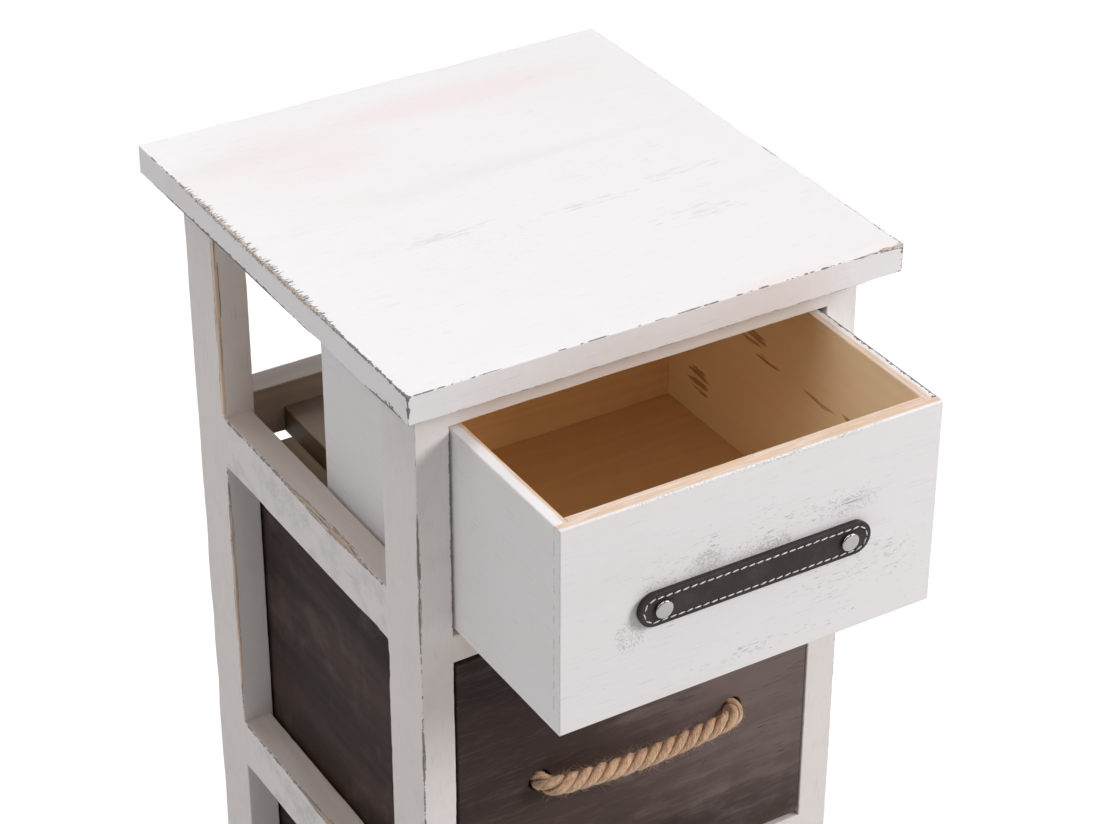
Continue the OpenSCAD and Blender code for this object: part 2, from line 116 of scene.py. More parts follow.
class Paint:
    """The colours of the piece, as linear red, green and blue."""

    WHITE: Colour = (0.87, 0.85, 0.862)
    CREAM: Colour = (0.86, 0.80, 0.73)
    ROSE: Colour = (0.86, 0.765, 0.745)
    MIST: Colour = (0.72, 0.725, 0.735)
    DUST: Colour = (0.46, 0.47, 0.50)
    AGED: Colour = (0.82, 0.77, 0.75)
    SCUFF: Colour = (0.20, 0.18, 0.185)
    RIM: Colour = (0.060, 0.045, 0.040)
    TAN: Colour = (0.70, 0.54, 0.42)
    TAN_DARK: Colour = (0.50, 0.36, 0.265)
    UMBER: Colour = (0.34, 0.25, 0.19)
    UMBER_DARK: Colour = (0.16, 0.115, 0.09)
    RAW_LIGHT: Colour = (0.94, 0.69, 0.40)
    RAW_DARK: Colour = (0.87, 0.575, 0.295)
    # Bare wood painted lighter: painted light on the inner face of the upper drawer's right side.
    RAW_PAINTED_LIT: Colour = (0.98, 0.82, 0.57)
    RAW_PAINTED_LIT_DARK: Colour = (0.95, 0.74, 0.47)
    RAW_EDGE: Colour = (0.72, 0.52, 0.37)
    KNOT: Colour = (0.30, 0.125, 0.035)
    # Greyed darker wood: painted shade on the tops and inner faces of the rails inside the frame.
    PAINTED_SHADE: Colour = (0.50, 0.435, 0.40)
    PAINTED_SHADE_DARK: Colour = (0.43, 0.36, 0.33)
    SHADED: Colour = (0.40, 0.32, 0.28)
    SHADED_DARK: Colour = (0.21, 0.155, 0.12)
    STRIPPED: Colour = (0.86, 0.66, 0.51)
    STRIPPED_DARK: Colour = (0.62, 0.44, 0.31)
    # Dark brown wood: painted shade on the runners and the dividers' edges deep inside the frame.
    RUNNER_SHADE: Colour = (0.17, 0.105, 0.050)
    RUNNER_SHADE_DARK: Colour = (0.11, 0.065, 0.030)
    PLY_LIGHT: Colour = (0.73, 0.44, 0.20)
    PLY_DARK: Colour = (0.66, 0.375, 0.155)
    STAIN_DARK: Colour = (0.030, 0.0185, 0.016)
    STAIN: Colour = (0.067, 0.042, 0.036)
    # Paler stain: painted light on the right part of a deep drawer's front.
    STAIN_PAINTED_LIGHT: Colour = (0.185, 0.138, 0.127)
    STAIN_GREY: Colour = (0.182, 0.137, 0.127)
    STAIN_WARM: Colour = (0.115, 0.064, 0.040)
    LEATHER: Colour = (0.036, 0.023, 0.024)
    LEATHER_WORN: Colour = (0.052, 0.038, 0.037)
    THREAD: Colour = (0.99, 0.97, 0.95)
    NICKEL: Colour = (0.62, 0.59, 0.57)
    ZINC: Colour = (0.60, 0.60, 0.58)
    JUTE_LIGHT: Colour = (0.84, 0.56, 0.37)
    JUTE: Colour = (0.42, 0.25, 0.145)
    JUTE_DARK: Colour = (0.105, 0.052, 0.027)

    @staticmethod
    def dimmed(colour: Colour, share: float) -> Colour:
        """A colour at a share of its brightness."""
        return tuple(share * part for part in colour)


class Net:
    """Writes a node tree, one short call for each node."""

    def __init__(self, tree: bpy.types.NodeTree) -> None:
        """Takes the tree that the calls add to."""
        self.tree = tree

    def feed(self, socket: Socket, value: Value) -> None:
        """Links a socket to another one, or sets its own value."""
        if isinstance(value, Socket):
            self.tree.links.new(value, socket)
            return
        if isinstance(value, (int, float)) and socket.type == "VECTOR":
            value = (value, value, value)
        elif socket.type == "RGBA" and len(value) == 3:
            value = (*value, 1.0)
        socket.default_value = value

    def fill(self, node: Node, values: dict[str, Value]) -> None:
        """Feeds a node's inputs by name, with _ for a space."""
        for name, value in values.items():
            self.feed(node.inputs[name.replace("_", " ")], value)

    def node(self, kind: str, settings: dict | None = None, **values: Value) -> Node:
        """Adds a node.

        Args:
            kind: Its type, without the words ShaderNode.
            settings: Attributes of the node.
            **values: Its inputs by name, with _ for a space.

        Returns:
            The new node.
        """
        made = self.tree.nodes.new("ShaderNode" + kind)
        for name, setting in (settings or {}).items():
            setattr(made, name, setting)
        self.fill(made, values)
        return made

    def calculate(self, kind: str, operation: str, *values: Value) -> Socket:
        """Adds a Math or Vector Math node and returns its result."""
        made = self.node(kind, {"operation": operation})
        for socket, value in zip(made.inputs, values):
            self.feed(socket, value)
        number = kind == "Math" or operation == "LENGTH"
        return made.outputs["Value" if number else "Vector"]

    # Short names for the operations that the finishes use most.
    maths = partialmethod(calculate, "Math")
    plus = partialmethod(calculate, "Math", "ADD")
    minus = partialmethod(calculate, "Math", "SUBTRACT")
    times = partialmethod(calculate, "Math", "MULTIPLY")
    times_plus = partialmethod(calculate, "Math", "MULTIPLY_ADD")
    larger = partialmethod(calculate, "Math", "MAXIMUM")
    vector = partialmethod(calculate, "VectorMath")
    shift = partialmethod(calculate, "VectorMath", "ADD")

    def noise(
        self, place: Value, scale: Value = 1.0, detail: float = 3.0, roughness: float = 0.5
    ) -> Socket:
        """Adds a Noise Texture, about 0.5 on average; a vector as its scale stretches it."""
        if not isinstance(scale, float):
            place, scale = self.vector("MULTIPLY", place, scale), 1.0
        made = self.node("TexNoise", Vector=place, Scale=scale, Detail=detail, Roughness=roughness)
        return made.outputs["Fac"]

    def ramp(
        self, value: Value, low: Value, high: Value, start: Value = 0.0, end: Value = 1.0
    ) -> Socket:
        """Turns low to high into start to end, clamped, with soft ends."""
        made = self.node("MapRange", {"interpolation_type": "SMOOTHSTEP"}, Value=value)
        self.fill(made, {"From Min": low, "From Max": high, "To Min": start, "To Max": end})
        return made.outputs["Result"]

    def mix(self, amount: Value, first: Value, second: Value) -> Socket:
        """Goes from the first colour to the second as amount goes from 0 to 1."""
        made = self.node("Mix", {"data_type": "RGBA"})
        for index, value in ((0, amount), (6, first), (7, second)):
            self.feed(made.inputs[index], value)
        return made.outputs[2]

    def attribute(self, name: str, output: str = "Fac") -> Socket:
        """Reads an attribute of the mesh."""
        return self.node("Attribute", {"attribute_name": name}).outputs[output]

    def use(self, group: bpy.types.NodeTree, **values: Value) -> Sockets:
        """Adds a node group, with its inputs by name, and returns its outputs."""
        made = self.tree.nodes.new("ShaderNodeGroup")
        made.node_tree = group
        self.fill(made, values)
        return made.outputs

    @classmethod
    def group(cls, name: str, **inputs: float | Triple) -> tuple["Net", list[Socket]]:
        """Starts a node group.

        Args:
            name: The group's name.
            **inputs: The value of each input, a number or a vector.

        Returns:
            The group's net and the inner ends of its inputs.
        """
        tree = bpy.data.node_groups.new(name, "ShaderNodeTree")
        for label, value in inputs.items():
            kind = "NodeSocketVector" if isinstance(value, tuple) else "NodeSocketFloat"
            made = tree.interface.new_socket(label, in_out="INPUT", socket_type=kind)
            made.default_value = value
        start = tree.nodes.new("NodeGroupInput")
        return cls(tree), [start.outputs[label] for label in inputs]

    def put_out(self, **results: Socket) -> bpy.types.NodeTree:
        """Ends a node group with its outputs by name, all numbers."""
        for label in results:
            self.tree.interface.new_socket(label, in_out="OUTPUT", socket_type="NodeSocketFloat")
        self.fill(self.tree.nodes.new("NodeGroupOutput"), results)
        return self.tree


class Effects:
    """The shader node groups that several finishes share, each built once."""

    def __init__(self) -> None:
        """Builds all the groups."""
        self.edges = self.edge_distance()
        self.spot = self.soft_spot()
        self.wear = self.edge_wear()
        self.marks = self.brush_marks()
        self.rings = self.wood_grain()

    @staticmethod
    def edge_distance() -> bpy.types.NodeTree:
        """How far a point of a board lies from the board's nearest arris."""
        net, (place, low, high) = Net.group(
            "edge_distance", Position=ORIGIN, Low=ORIGIN, High=(1.0, 1.0, 1.0)
        )
        from_low, to_high = net.vector("SUBTRACT", place, low), net.vector("SUBTRACT", high, place)
        near = net.node("SeparateXYZ", Vector=net.vector("MINIMUM", from_low, to_high))
        x, y, z = near.outputs
        edge = net.maths("MINIMUM", net.larger(y, z), net.larger(x, z))
        return net.put_out(Edge=net.maths("MINIMUM", edge, net.larger(x, y)))

    @staticmethod
    def soft_spot() -> bpy.types.NodeTree:
        """A soft-edged patch: 1 in its middle and 0 outside its radii."""
        net, (place, centre, radii) = Net.group(
            "soft_spot", Position=ORIGIN, Centre=ORIGIN, Radii=(1.0, 1.0, 1.0)
        )
        away = net.vector("DIVIDE", net.vector("SUBTRACT", place, centre), radii)
        return net.put_out(Mask=net.ramp(net.vector("LENGTH", away), 1.0, 0.25))

    @staticmethod
    def edge_wear() -> bpy.types.NodeTree:
        """Paint worn off along an arris: bare wood, and dark lines and chips round it."""
        net, (place, edge, reach, line, share, spots, chips, fibres, seed) = Net.group(
            "edge_wear", Position=ORIGIN, Edge=1.0, Reach=0.8 * MM, Line=0.35 * MM, Share=0.3,
            Spots=0.0, Chips=0.0, Fibres=(160.0, 1100.0, 1100.0), Seed=0.0,
        )
        place = net.shift(place, seed)
        start = net.times_plus(share, -0.32, 0.72)
        patches = net.ramp(net.noise(place, 38.0, 3.0, 0.6), start, net.plus(start, 0.1))
        patches = net.times(net.larger(patches, spots), reach)
        threads = net.vector("MULTIPLY", place, fibres)
        bare = net.ramp(net.noise(threads, 1.0, 3.0, 0.6), 0.36, 0.68, 0.1, 1.4)
        bare = net.times(patches, bare)
        hatch = net.ramp(net.noise(net.shift(threads, 4.7), 1.0, 2.0, 0.55), 0.48, 0.72)
        hatch = net.times(hatch, patches)
        broken = net.ramp(net.noise(place, 150.0, 3.0, 0.6), 0.44, 0.58)
        rough = net.ramp(net.noise(place, 420.0, 3.0, 0.65), 0.48, 0.68, 0.8, 2.6)
        dark = net.times_plus(net.times_plus(rough, chips, broken), line, bare)
        dark = net.times_plus(hatch, 2.3, dark)
        return net.put_out(
            Bare=net.ramp(net.minus(bare, edge), -0.05 * MM, 0.20 * MM),
            Dark=net.ramp(net.minus(dark, edge), -0.05 * MM, 0.16 * MM),
        )

    @staticmethod
    def brush_marks() -> bpy.types.NodeTree:
        """Marks that a dry brush leaves along the grain, with their tone and relief."""
        net, (place, long, short, broad, strokes, dashes, specks, seed) = Net.group(
            "brush_marks", Position=ORIGIN, Long=(60.0, 950.0, 950.0), Short=(260.0, 1500.0, 1500.0),
            Broad=(3.5, 24.0, 24.0), Strokes=0.1, Dashes=0.1, Specks=0.0, Seed=0.0,
        )
        place = net.shift(place, seed)
        fine = net.noise(place, long, 4.0, 0.62)
        crowd = net.ramp(net.noise(place, 40.0, 3.0, 0.6), 0.42, 0.72, 0.0, 0.10)

        def marks(pattern: Socket, amount: Socket, slope: float, most: float, soft: float) -> Socket:
            """The peaks of a pattern, more of them with the amount."""
            edge = net.minus(net.times_plus(amount, slope, most), crowd)
            return net.ramp(pattern, edge, net.plus(edge, soft))

        return net.put_out(
            Stroke=marks(fine, strokes, -0.36, 0.80, 0.07),
            Dash=marks(net.noise(place, short, 2.0), dashes, -0.26, 0.84, 0.06),
            Speck=marks(net.noise(place, 1250.0, 3.0, 0.65), specks, -0.46, 0.97, 0.12),
            Tone=net.noise(place, broad, 4.0, 0.55),
            Relief=fine,
        )

    @staticmethod
    def wood_grain() -> bpy.types.NodeTree:
        """Year rings and pores of bare wood."""
        net, (place, rings, pores, seed) = Net.group(
            "wood_grain", Position=ORIGIN, Rings=(2.2, 26.0, 26.0), Pores=(50.0, 1300.0, 1300.0),
            Seed=0.0,
        )
        place = net.shift(place, seed)
        bands = net.maths("SINE", net.times(net.noise(place, rings, 2.0), 55.0))
        return net.put_out(
            Ring=net.times_plus(bands, 0.5, 0.5), Pore=net.noise(place, pores, 3.0, 0.6)
        )


class Finish:
    """A finish that can be laid on pieces of the nightstand."""

    effects: Effects

    def start(self, name: str) -> tuple[Net, Socket]:
        """Makes a material and gives its net and the position on the piece."""
        self.material = bpy.data.materials.new(name)
        self.material.use_nodes = True
        self.material.node_tree.nodes.clear()
        net = Net(self.material.node_tree)
        self.shader = net.node("BsdfPrincipled")
        net.node("OutputMaterial", Surface=self.shader.outputs[0])
        return net, net.node("TexCoord").outputs["Object"]

    def coat(
        self, net: Net, colour: Value, roughness: Value,
        relief: tuple[Value, float, float] | None = None, **others: Value,
    ) -> bpy.types.Material:
        """Ends the material.

        Args:
            net: Its net.
            colour: Its colour.
            roughness: Its roughness.
            relief: Height, strength and distance in metres of its relief.
            **others: Other inputs of the shader by name, with _ for a space.

        Returns:
            The material.
        """
        if relief:
            height, strength, distance = relief
            bump = net.node("Bump", Height=height, Strength=strength, Distance=distance)
            others["Normal"] = bump.outputs[0]
        net.fill(self.shader, {"Base Color": colour, "Roughness": roughness, **others})
        return self.material

    def gather(self, net: Net, place: Socket, spots: Spots) -> Value:
        """The strongest of several soft spots at each point, or 0 where there are none."""
        total: Value = 0.0
        for spot in spots:
            mask = net.use(
                self.effects.spot, Position=place, Centre=spot.centre, Radii=spot.radii
            )["Mask"]
            total = mask if total == 0.0 else net.larger(total, mask)
        return total


@dataclass
class Board(Finish):
    """Measures and wear of one board, which its finish needs.

    Attributes:
        node: The CAD node's name.
        grain: Direction of the grain.
        seed: Sets this board's pattern apart from the others'.
        reach: How far the bare wood comes in from the arrises, in metres.
        line: Width of the dark line along the arrises, in metres.
        share: Share of the arrises that is worn.
        spots: Where the arrises are worn all along.
        chips: Where they are chipped and dark.
        gouges: Where they are chipped deeply.
        scuffs: Where long dark strokes gather.
        dashed: Where short dark dashes gather.
        specks: Where fine specks gather.
        knots: Where bare wood is streaked with a knot.
        strokes: How many long strokes there are elsewhere.
        dashes: How many short dashes there are elsewhere.
        painted: The side that carries the paint, or None where all sides do.
        creep: How far the paint comes over the upper edge of a drawer's board.
        bare: Light and dark colour of its bare sides, which carry painted light on one drawer side
            and painted shade deep in the frame.
        worn: Light and dark colour of the wood where the paint is worn off.
        ragged: How quickly the wear changes along the grain, per metre.
        rim: How dark the lines and chips are.
        jointed: Whether the piece says, in the attribute free, where its arrises
            meet no other timber.
    """

    node: str
    grain: Grain
    seed: float
    reach: float = 0.8 * MM
    line: float = 0.35 * MM
    share: float = 0.3
    spots: Spots = ()
    chips: Spots = ()
    gouges: Spots = ()
    scuffs: Spots = ()
    dashed: Spots = ()
    specks: Spots = ()
    knots: Spots = ()
    strokes: float = 0.1
    dashes: float = 0.1
    painted: Face | None = None
    creep: float = 1.5 * MM
    bare: tuple[Colour, Colour] = (Paint.RAW_LIGHT, Paint.RAW_DARK)
    worn: tuple[Colour, Colour] = (Paint.TAN, Paint.TAN_DARK)
    ragged: float = 160.0
    rim: float = 0.82
    jointed: bool = False

    def inside(self, net: Net, place: Socket, low: Vector, high: Vector) -> Socket:
        """The faces of a board that stay bare.

        A drawer's board is bare on its inner face and its upper edge, and a board
        painted on top is bare everywhere else.
        """
        axis, side = self.painted.value
        spans = net.node("SeparateXYZ", Vector=place).outputs
        outer, inner = (low, high) if side < 0 else (high, low)
        depth_out = net.maths("ABSOLUTE", net.minus(spans[axis], outer[axis]))
        if self.painted is Face.TOP:
            return net.ramp(depth_out, 0.4 * MM, 0.9 * MM)
        depth_in = net.maths("ABSOLUTE", net.minus(spans[axis], inner[axis]))
        wavy = net.times(net.times_plus(net.noise(place, 45.0, 4.0), 0.5, 0.75), self.creep)
        over = net.ramp(net.minus(depth_out, wavy), -0.6 * MM, 1.0 * MM)
        top = net.ramp(net.minus(high.z, spans[2]), 0.7 * MM, 0.5 * MM)
        return net.larger(net.ramp(depth_in, 0.7 * MM, 0.5 * MM), net.times(top, over))

    def raw_wood(self, net: Net, place: Socket, colours: tuple[Colour, Colour]) -> Socket:
        """Colour of bare wood with its rings, pores and knots, from light and dark."""
        grain = net.use(
            self.effects.rings, Position=place, Rings=self.grain.stretch(2.2, 26.0),
            Pores=self.grain.stretch(50.0, 1300.0), Seed=self.seed,
        )
        rings = net.times_plus(grain["Ring"], 0.40, -0.05)
        colour = net.mix(net.plus(rings, net.times_plus(grain["Pore"], 0.7, -0.15)), *colours)
        if self.knots:
            streaks = net.noise(place, self.grain.stretch(34.0, 430.0), 3.0, 0.55)
            edge = net.times_plus(self.gather(net, place, self.knots), -0.46, 0.88)
            streaks = net.ramp(streaks, edge, net.plus(edge, 0.15), 0.0, 0.72)
            colour = net.mix(streaks, colour, Paint.KNOT)
        return colour

    def brushed(self, net: Net, place: Socket) -> Sockets:
        """The marks of the brush on this board."""
        return net.use(
            self.effects.marks, Position=place, Seed=self.seed,
            Long=self.grain.stretch(60.0, 950.0), Short=self.grain.stretch(260.0, 1500.0),
            Broad=self.grain.stretch(3.5, 24.0),
            Strokes=net.times_plus(self.gather(net, place, self.scuffs), 0.72, self.strokes),
            Dashes=net.times_plus(self.gather(net, place, self.dashed), 0.62, self.dashes),
            Specks=self.gather(net, place, self.specks),
        )

    def worn_edges(self, net: Net, place: Socket, low: Vector, high: Vector) -> Sockets:
        """The wear of this board's arrises."""
        edge = net.use(self.effects.edges, Position=place, Low=low, High=high)["Edge"]
        if self.jointed:
            edge = net.times_plus(net.minus(1.0, net.attribute("free")), 20.0 * MM, edge)
        chips = self.gather(net, place, self.chips)
        return net.use(
            self.effects.wear, Position=place, Edge=edge, Reach=self.reach, Line=self.line,
            Share=self.share, Seed=self.seed, Fibres=self.grain.stretch(self.ragged, 1100.0),
            Spots=self.gather(net, place, self.spots),
            Chips=net.times_plus(self.gather(net, place, self.gouges), 3.0, chips),
        )

    def make(self, low: Vector, high: Vector) -> bpy.types.Material:
        """Builds the material of a board with these corners; each kind has its own."""
        raise NotImplementedError

    def dress(self, piece: bpy.types.Object) -> None:
        """Makes the finish and lays it on a piece."""
        Workshop.lay(piece, self.make(*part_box(self.node)))


@dataclass
class WashedBoard(Board):
    """White wash over pine, worn through at the arrises.

    Attributes:
        wash: Colour of the wash.
        warmth: How strongly the wood tints it.
        blush: Where the wood shows through the wash.
        ink: How dark the brush marks are.
        mottle: How strongly the paint is clouded with grey.
        rimmed: Whether the bare sides are kept clean, as in a drawer, with a paler
            upper edge; or else they are worn like the painted ones.
    """

    wash: Colour = Paint.WHITE
    warmth: float = 0.25
    blush: Spots = ()
    ink: float = 1.0
    mottle: float = 0.0
    rimmed: bool = True

    def washed(self, net: Net, place: Socket, marks: Sockets) -> Socket:
        """Colour of the wash with its tints and brush marks."""
        tone = marks["Tone"]
        wash = net.mix(net.ramp(tone, 0.50, 0.78, 0.0, self.warmth * 1.4), self.wash, Paint.CREAM)
        cloud = net.vector("MULTIPLY", place, self.grain.stretch(6.0, 17.0))
        cloud = net.noise(net.shift(cloud, self.seed + 3.0))
        blush = self.gather(net, place, self.blush)
        blush = net.times(blush, net.ramp(cloud, 0.32, 0.62, 0.10, 0.62))
        blush = net.plus(net.ramp(cloud, 0.5, 0.75, 0.0, self.warmth), blush)
        wash = net.mix(blush, wash, Paint.ROSE)
        wash = net.mix(net.ramp(tone, 0.46, 0.22, 0.0, 0.30), wash, Paint.MIST)
        if self.mottle:
            patchy = net.noise(net.shift(place, self.seed + 9.0), 62.0, 5.0, 0.62)
            wash = net.mix(net.ramp(patchy, 0.47, 0.66, 0.0, self.mottle), wash, Paint.DUST)
        wash = net.mix(net.ramp(marks["Relief"], 0.56, 0.78, 0.0, 0.16), wash, Paint.SCUFF)
        dark = net.times(marks["Stroke"], 0.72 * self.ink)
        for kind in ("Dash", "Speck"):
            dark = net.larger(dark, net.times(marks[kind], 0.50 * self.ink))
        return net.mix(dark, wash, Paint.SCUFF)

    def edged(self, net: Net, place: Socket, relief: Socket, top: float) -> Socket:
        """Colour of a drawer's bare side, with a paler upper edge."""
        raw = self.raw_wood(net, place, self.bare)
        if self.painted is Face.TOP:
            return raw
        lit = net.minus(top, net.node("SeparateXYZ", Vector=place).outputs[2])
        lit = net.ramp(lit, 1.2 * MM, 0.4 * MM, 0.0, 0.92)
        raw = net.mix(lit, raw, Paint.RAW_EDGE)
        return net.mix(net.times(net.ramp(relief, 0.44, 0.62, 0.0, 0.6), lit), raw, Paint.ROSE)

    def make(self, low: Vector, high: Vector) -> bpy.types.Material:
        """Builds the white-washed material."""
        net, place = self.start("white_wash_" + self.node)
        marks = self.brushed(net, place)
        relief = marks["Relief"]
        colour = self.washed(net, place, marks)
        bare_side = self.inside(net, place, low, high) if self.painted else None
        if bare_side and not self.rimmed:
            colour = net.mix(bare_side, colour, self.raw_wood(net, place, self.bare))
        wear = self.worn_edges(net, place, low, high)
        colour = net.mix(net.times(wear["Dark"], self.rim), colour, Paint.RIM)
        colour = net.mix(wear["Bare"], colour, self.raw_wood(net, place, self.worn))
        if bare_side and self.rimmed:
            colour = net.mix(bare_side, colour, self.edged(net, place, relief, high.z))
        height = net.minus(relief, net.times(wear["Dark"], 1.5))
        return self.coat(
            net, colour, net.times_plus(relief, 0.25, 0.42), (height, 0.5, 0.12 * MM)
        )


@dataclass
class StainedBoard(Board):
    """Weathered grey-brown stain, brushed on along the grain.

    Attributes:
        streaky: How clearly the brush shows, against soft clouds.
        pale: Where the stain is paler, as painted light.
        deep: Where the stain is darker, as painted shade.
    """

    streaky: float = 1.0
    pale: Spots = ()
    deep: Spots = ()

    def make(self, low: Vector, high: Vector) -> bpy.types.Material:
        """Builds the brown-stained material."""
        net, place = self.start("brown_stain_" + self.node)
        marks = self.brushed(net, place)
        relief = marks["Relief"]
        stain = net.mix(net.ramp(marks["Tone"], 0.36, 0.60), Paint.STAIN_DARK, Paint.STAIN)
        warm = net.vector("MULTIPLY", place, self.grain.stretch(7.0, 16.0))
        warm = net.noise(net.shift(warm, self.seed + 5.0))
        stain = net.mix(net.ramp(warm, 0.50, 0.74, 0.0, 0.55), stain, Paint.STAIN_WARM)
        streak = net.noise(place, self.grain.stretch(15.0, 150.0), 5.0, 0.66)
        cloud = net.noise(net.shift(place, self.seed), 42.0, 5.0, 0.6)
        cloud = net.times(cloud, 1.0 - 0.6 * self.streaky)
        streak = net.times_plus(streak, 0.6 * self.streaky, cloud)
        # Painted light: the stain is paler, with more grey streaks, in the pale spots.
        where = self.gather(net, place, self.pale)
        start = net.times_plus(where, -0.16, 0.50)
        depth = 0.14 + 0.48 * self.streaky
        streak = net.ramp(streak, start, net.plus(start, 0.20), 0.0, depth)
        stain = net.mix(net.times(where, 0.72), stain, Paint.STAIN_PAINTED_LIGHT)
        stain = net.mix(streak, stain, Paint.STAIN_GREY)
        # Painted shade: the stain is darker in the deep spots.
        if self.deep:
            darker = net.times(self.gather(net, place, self.deep), 0.62)
            stain = net.mix(darker, stain, Paint.STAIN_DARK)
        brush = net.ramp(relief, 0.52, 0.70, 0.0, 0.30 * self.streaky)
        stain = net.mix(brush, stain, Paint.STAIN_GREY)
        stain = net.mix(net.times(marks["Stroke"], 0.5 * self.streaky), stain, Paint.STAIN_DARK)
        wear = self.worn_edges(net, place, low, high)
        worn = self.raw_wood(net, place, self.worn)
        stain = net.mix(net.times(wear["Bare"], 0.6), stain, worn)
        raw = self.raw_wood(net, place, self.bare)
        stain = net.mix(self.inside(net, place, low, high), stain, raw)
        return self.coat(
            net, stain, net.times_plus(relief, 0.3, 0.55), (relief, 0.6, 0.20 * MM),
            Specular_IOR_Level=0.25,
        )


@dataclass
class RawBoard(Board):
    """Bare wood with its rings and pores."""

    def make(self, low: Vector, high: Vector) -> bpy.types.Material:
        """Builds the bare wood."""
        net, place = self.start("bare_wood_" + self.node)
        edge = net.use(self.effects.edges, Position=place, Low=low, High=high)["Edge"]
        rim = net.times(net.ramp(edge, 1.2 * MM, 0.2 * MM), 0.35)
        colour = net.mix(rim, self.raw_wood(net, place, self.bare), self.bare[1])
        grain = net.noise(place, self.grain.stretch(60.0, 1400.0))
        return self.coat(net, colour, 0.62, (grain, 0.35, 0.10 * MM))


class Leather(Finish):
    """Dark brown leather with a fine grain, paler where it is bent or rubbed."""

    def make(self, name: str) -> bpy.types.Material:
        """Builds the leather under a name."""
        net, place = self.start(name)
        stretched = net.vector("MULTIPLY", place, (900.0, 900.0, 1100.0))
        cells = net.node(
            "TexVoronoi", {"feature": "DISTANCE_TO_EDGE"}, Vector=stretched, Scale=1.0
        )
        pebbles = net.ramp(cells.outputs["Distance"], 0.0, 0.22)
        cloud = net.ramp(net.noise(place, 70.0, 4.0, 0.6), 0.42, 0.7)
        height = net.times_plus(pebbles, 0.7, net.noise(place, 420.0))
        return self.coat(
            net, net.mix(cloud, Paint.LEATHER, Paint.LEATHER_WORN),
            net.times_plus(pebbles, -0.10, 0.55), (height, 0.35, 0.12 * MM),
            Specular_IOR_Level=0.30,
        )


@dataclass
class Metal(Finish):
    """Plated metal with fine wear.

    Attributes:
        colour: Colour of the metal.
        roughness: Roughness between the scratches.
    """

    colour: Colour
    roughness: float

    def make(self, name: str) -> bpy.types.Material:
        """Builds the metal under a name."""
        net, place = self.start(name)
        scratches = net.noise(place, (900.0, 900.0, 3000.0), 4.0)
        amount = net.ramp(scratches, 0.45, 0.8, 0.0, 0.35)
        colour = net.mix(amount, self.colour, Paint.dimmed(self.colour, 0.7))
        rough = net.times_plus(scratches, 0.16, self.roughness - 0.08)
        return self.coat(net, colour, rough, Metallic=1.0)


class Thread(Finish):
    """Waxed linen thread, twisted from two yarns."""

    def make(self, name: str) -> bpy.types.Material:
        """Builds the thread under a name."""
        net, place = self.start(name)
        fibres = net.noise(place, (2600.0, 900.0, 900.0))
        amount = net.ramp(fibres, 0.35, 0.7)
        colour = net.mix(amount, Paint.dimmed(Paint.THREAD, 0.6), Paint.THREAD)
        return self.coat(net, colour, 0.7, (fibres, 0.4, 0.08 * MM), Sheen_Weight=0.2)


class Jute(Finish):
    """Dry jute, whose fibres follow the twist of each strand."""

    def make(self, name: str) -> bpy.types.Material:
        """Builds the jute under a name."""
        net, place = self.start(name)
        twist = net.attribute("fibre", "Vector")
        yarn = net.noise(twist, (2.6, 2.6, 55.0), 3.0, 0.6)
        hair = net.noise(twist, (13.0, 13.0, 110.0), 4.0, 0.7)
        tone = net.times_plus(yarn, 0.55, net.times(hair, 0.45))
        colour = net.mix(net.ramp(tone, 0.34, 0.60), Paint.JUTE, Paint.JUTE_LIGHT)
        colour = net.mix(net.ramp(hair, 0.42, 0.24, 0.0, 0.70), colour, Paint.JUTE_DARK)
        cloud = net.ramp(net.noise(place, 110.0), 0.5, 0.8, 0.0, 0.4)
        colour = net.mix(cloud, colour, Paint.JUTE)
        # Painted shade: the crevices where the strands meet are darkened.
        groove = net.ramp(net.attribute("groove"), 0.10, 0.72, 0.0, 0.92)
        colour = net.mix(groove, colour, Paint.JUTE_DARK)
        height = net.times_plus(hair, 0.6, yarn)
        return self.coat(net, colour, 0.88, (height, 1.0, 0.50 * MM), Sheen_Weight=0.25)


class Workshop:
    """Turns meshes into dressed pieces that ride on the nightstand's bodies."""

    @staticmethod
    def lay(piece: bpy.types.Object, material: bpy.types.Material) -> None:
        """Gives a piece one finish in place of all that it has."""
        piece.data.materials.clear()
        piece.data.materials.append(material)

    @staticmethod
    def furnish(name: str, mesh: Mesh, material: bpy.types.Material) -> bpy.types.Object:
        """Makes an object of a finished mesh, which is freed."""
        data = bpy.data.meshes.new(name)
        mesh.to_mesh(data)
        mesh.free()
        data.materials.append(material)
        made = bpy.data.objects.new(name, data)
        bpy.context.scene.collection.objects.link(made)
        return made

    @classmethod
    def piece(
        cls, name: str, mesh: Mesh, body: str, material: bpy.types.Material,
        stands_for: str = "", slot: str = "", smooth: bool = True,
    ) -> bpy.types.Object:
        """Makes a piece that rides on a body.

        Args:
            name: The piece's name.
            mesh: Its mesh, in place, which is freed.
            body: The body that it rides on.
            material: Its finish.
            stands_for: The CAD node that it replaces.
            slot: The record's material slot, which is not used.
            smooth: Whether its faces are shaded smooth.

        Returns:
            The new object.
        """
        bmesh.ops.recalc_face_normals(mesh, faces=mesh.faces)
        for face in mesh.faces:
            face.smooth = smooth
        made = cls.furnish(name, mesh, material)
        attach(made, body)
        if stands_for:
            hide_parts(stands_for)
        log.info("%s: %d faces on %s", name, len(made.data.polygons), body)
        return made

    @staticmethod
    def soften(piece: bpy.types.Object, width: float) -> None:
        """Rounds the arrises of a CAD node's object to a width, with modifiers only."""
        piece.modifiers.new("weld", "WELD").merge_threshold = 1e-6
        bevel = piece.modifiers.new("soften", "BEVEL")
        bevel.width = width
        bevel.segments = 2
        bevel.limit_method = "ANGLE"
        bevel.angle_limit = math.radians(30)
        bevel.use_clamp_overlap = True


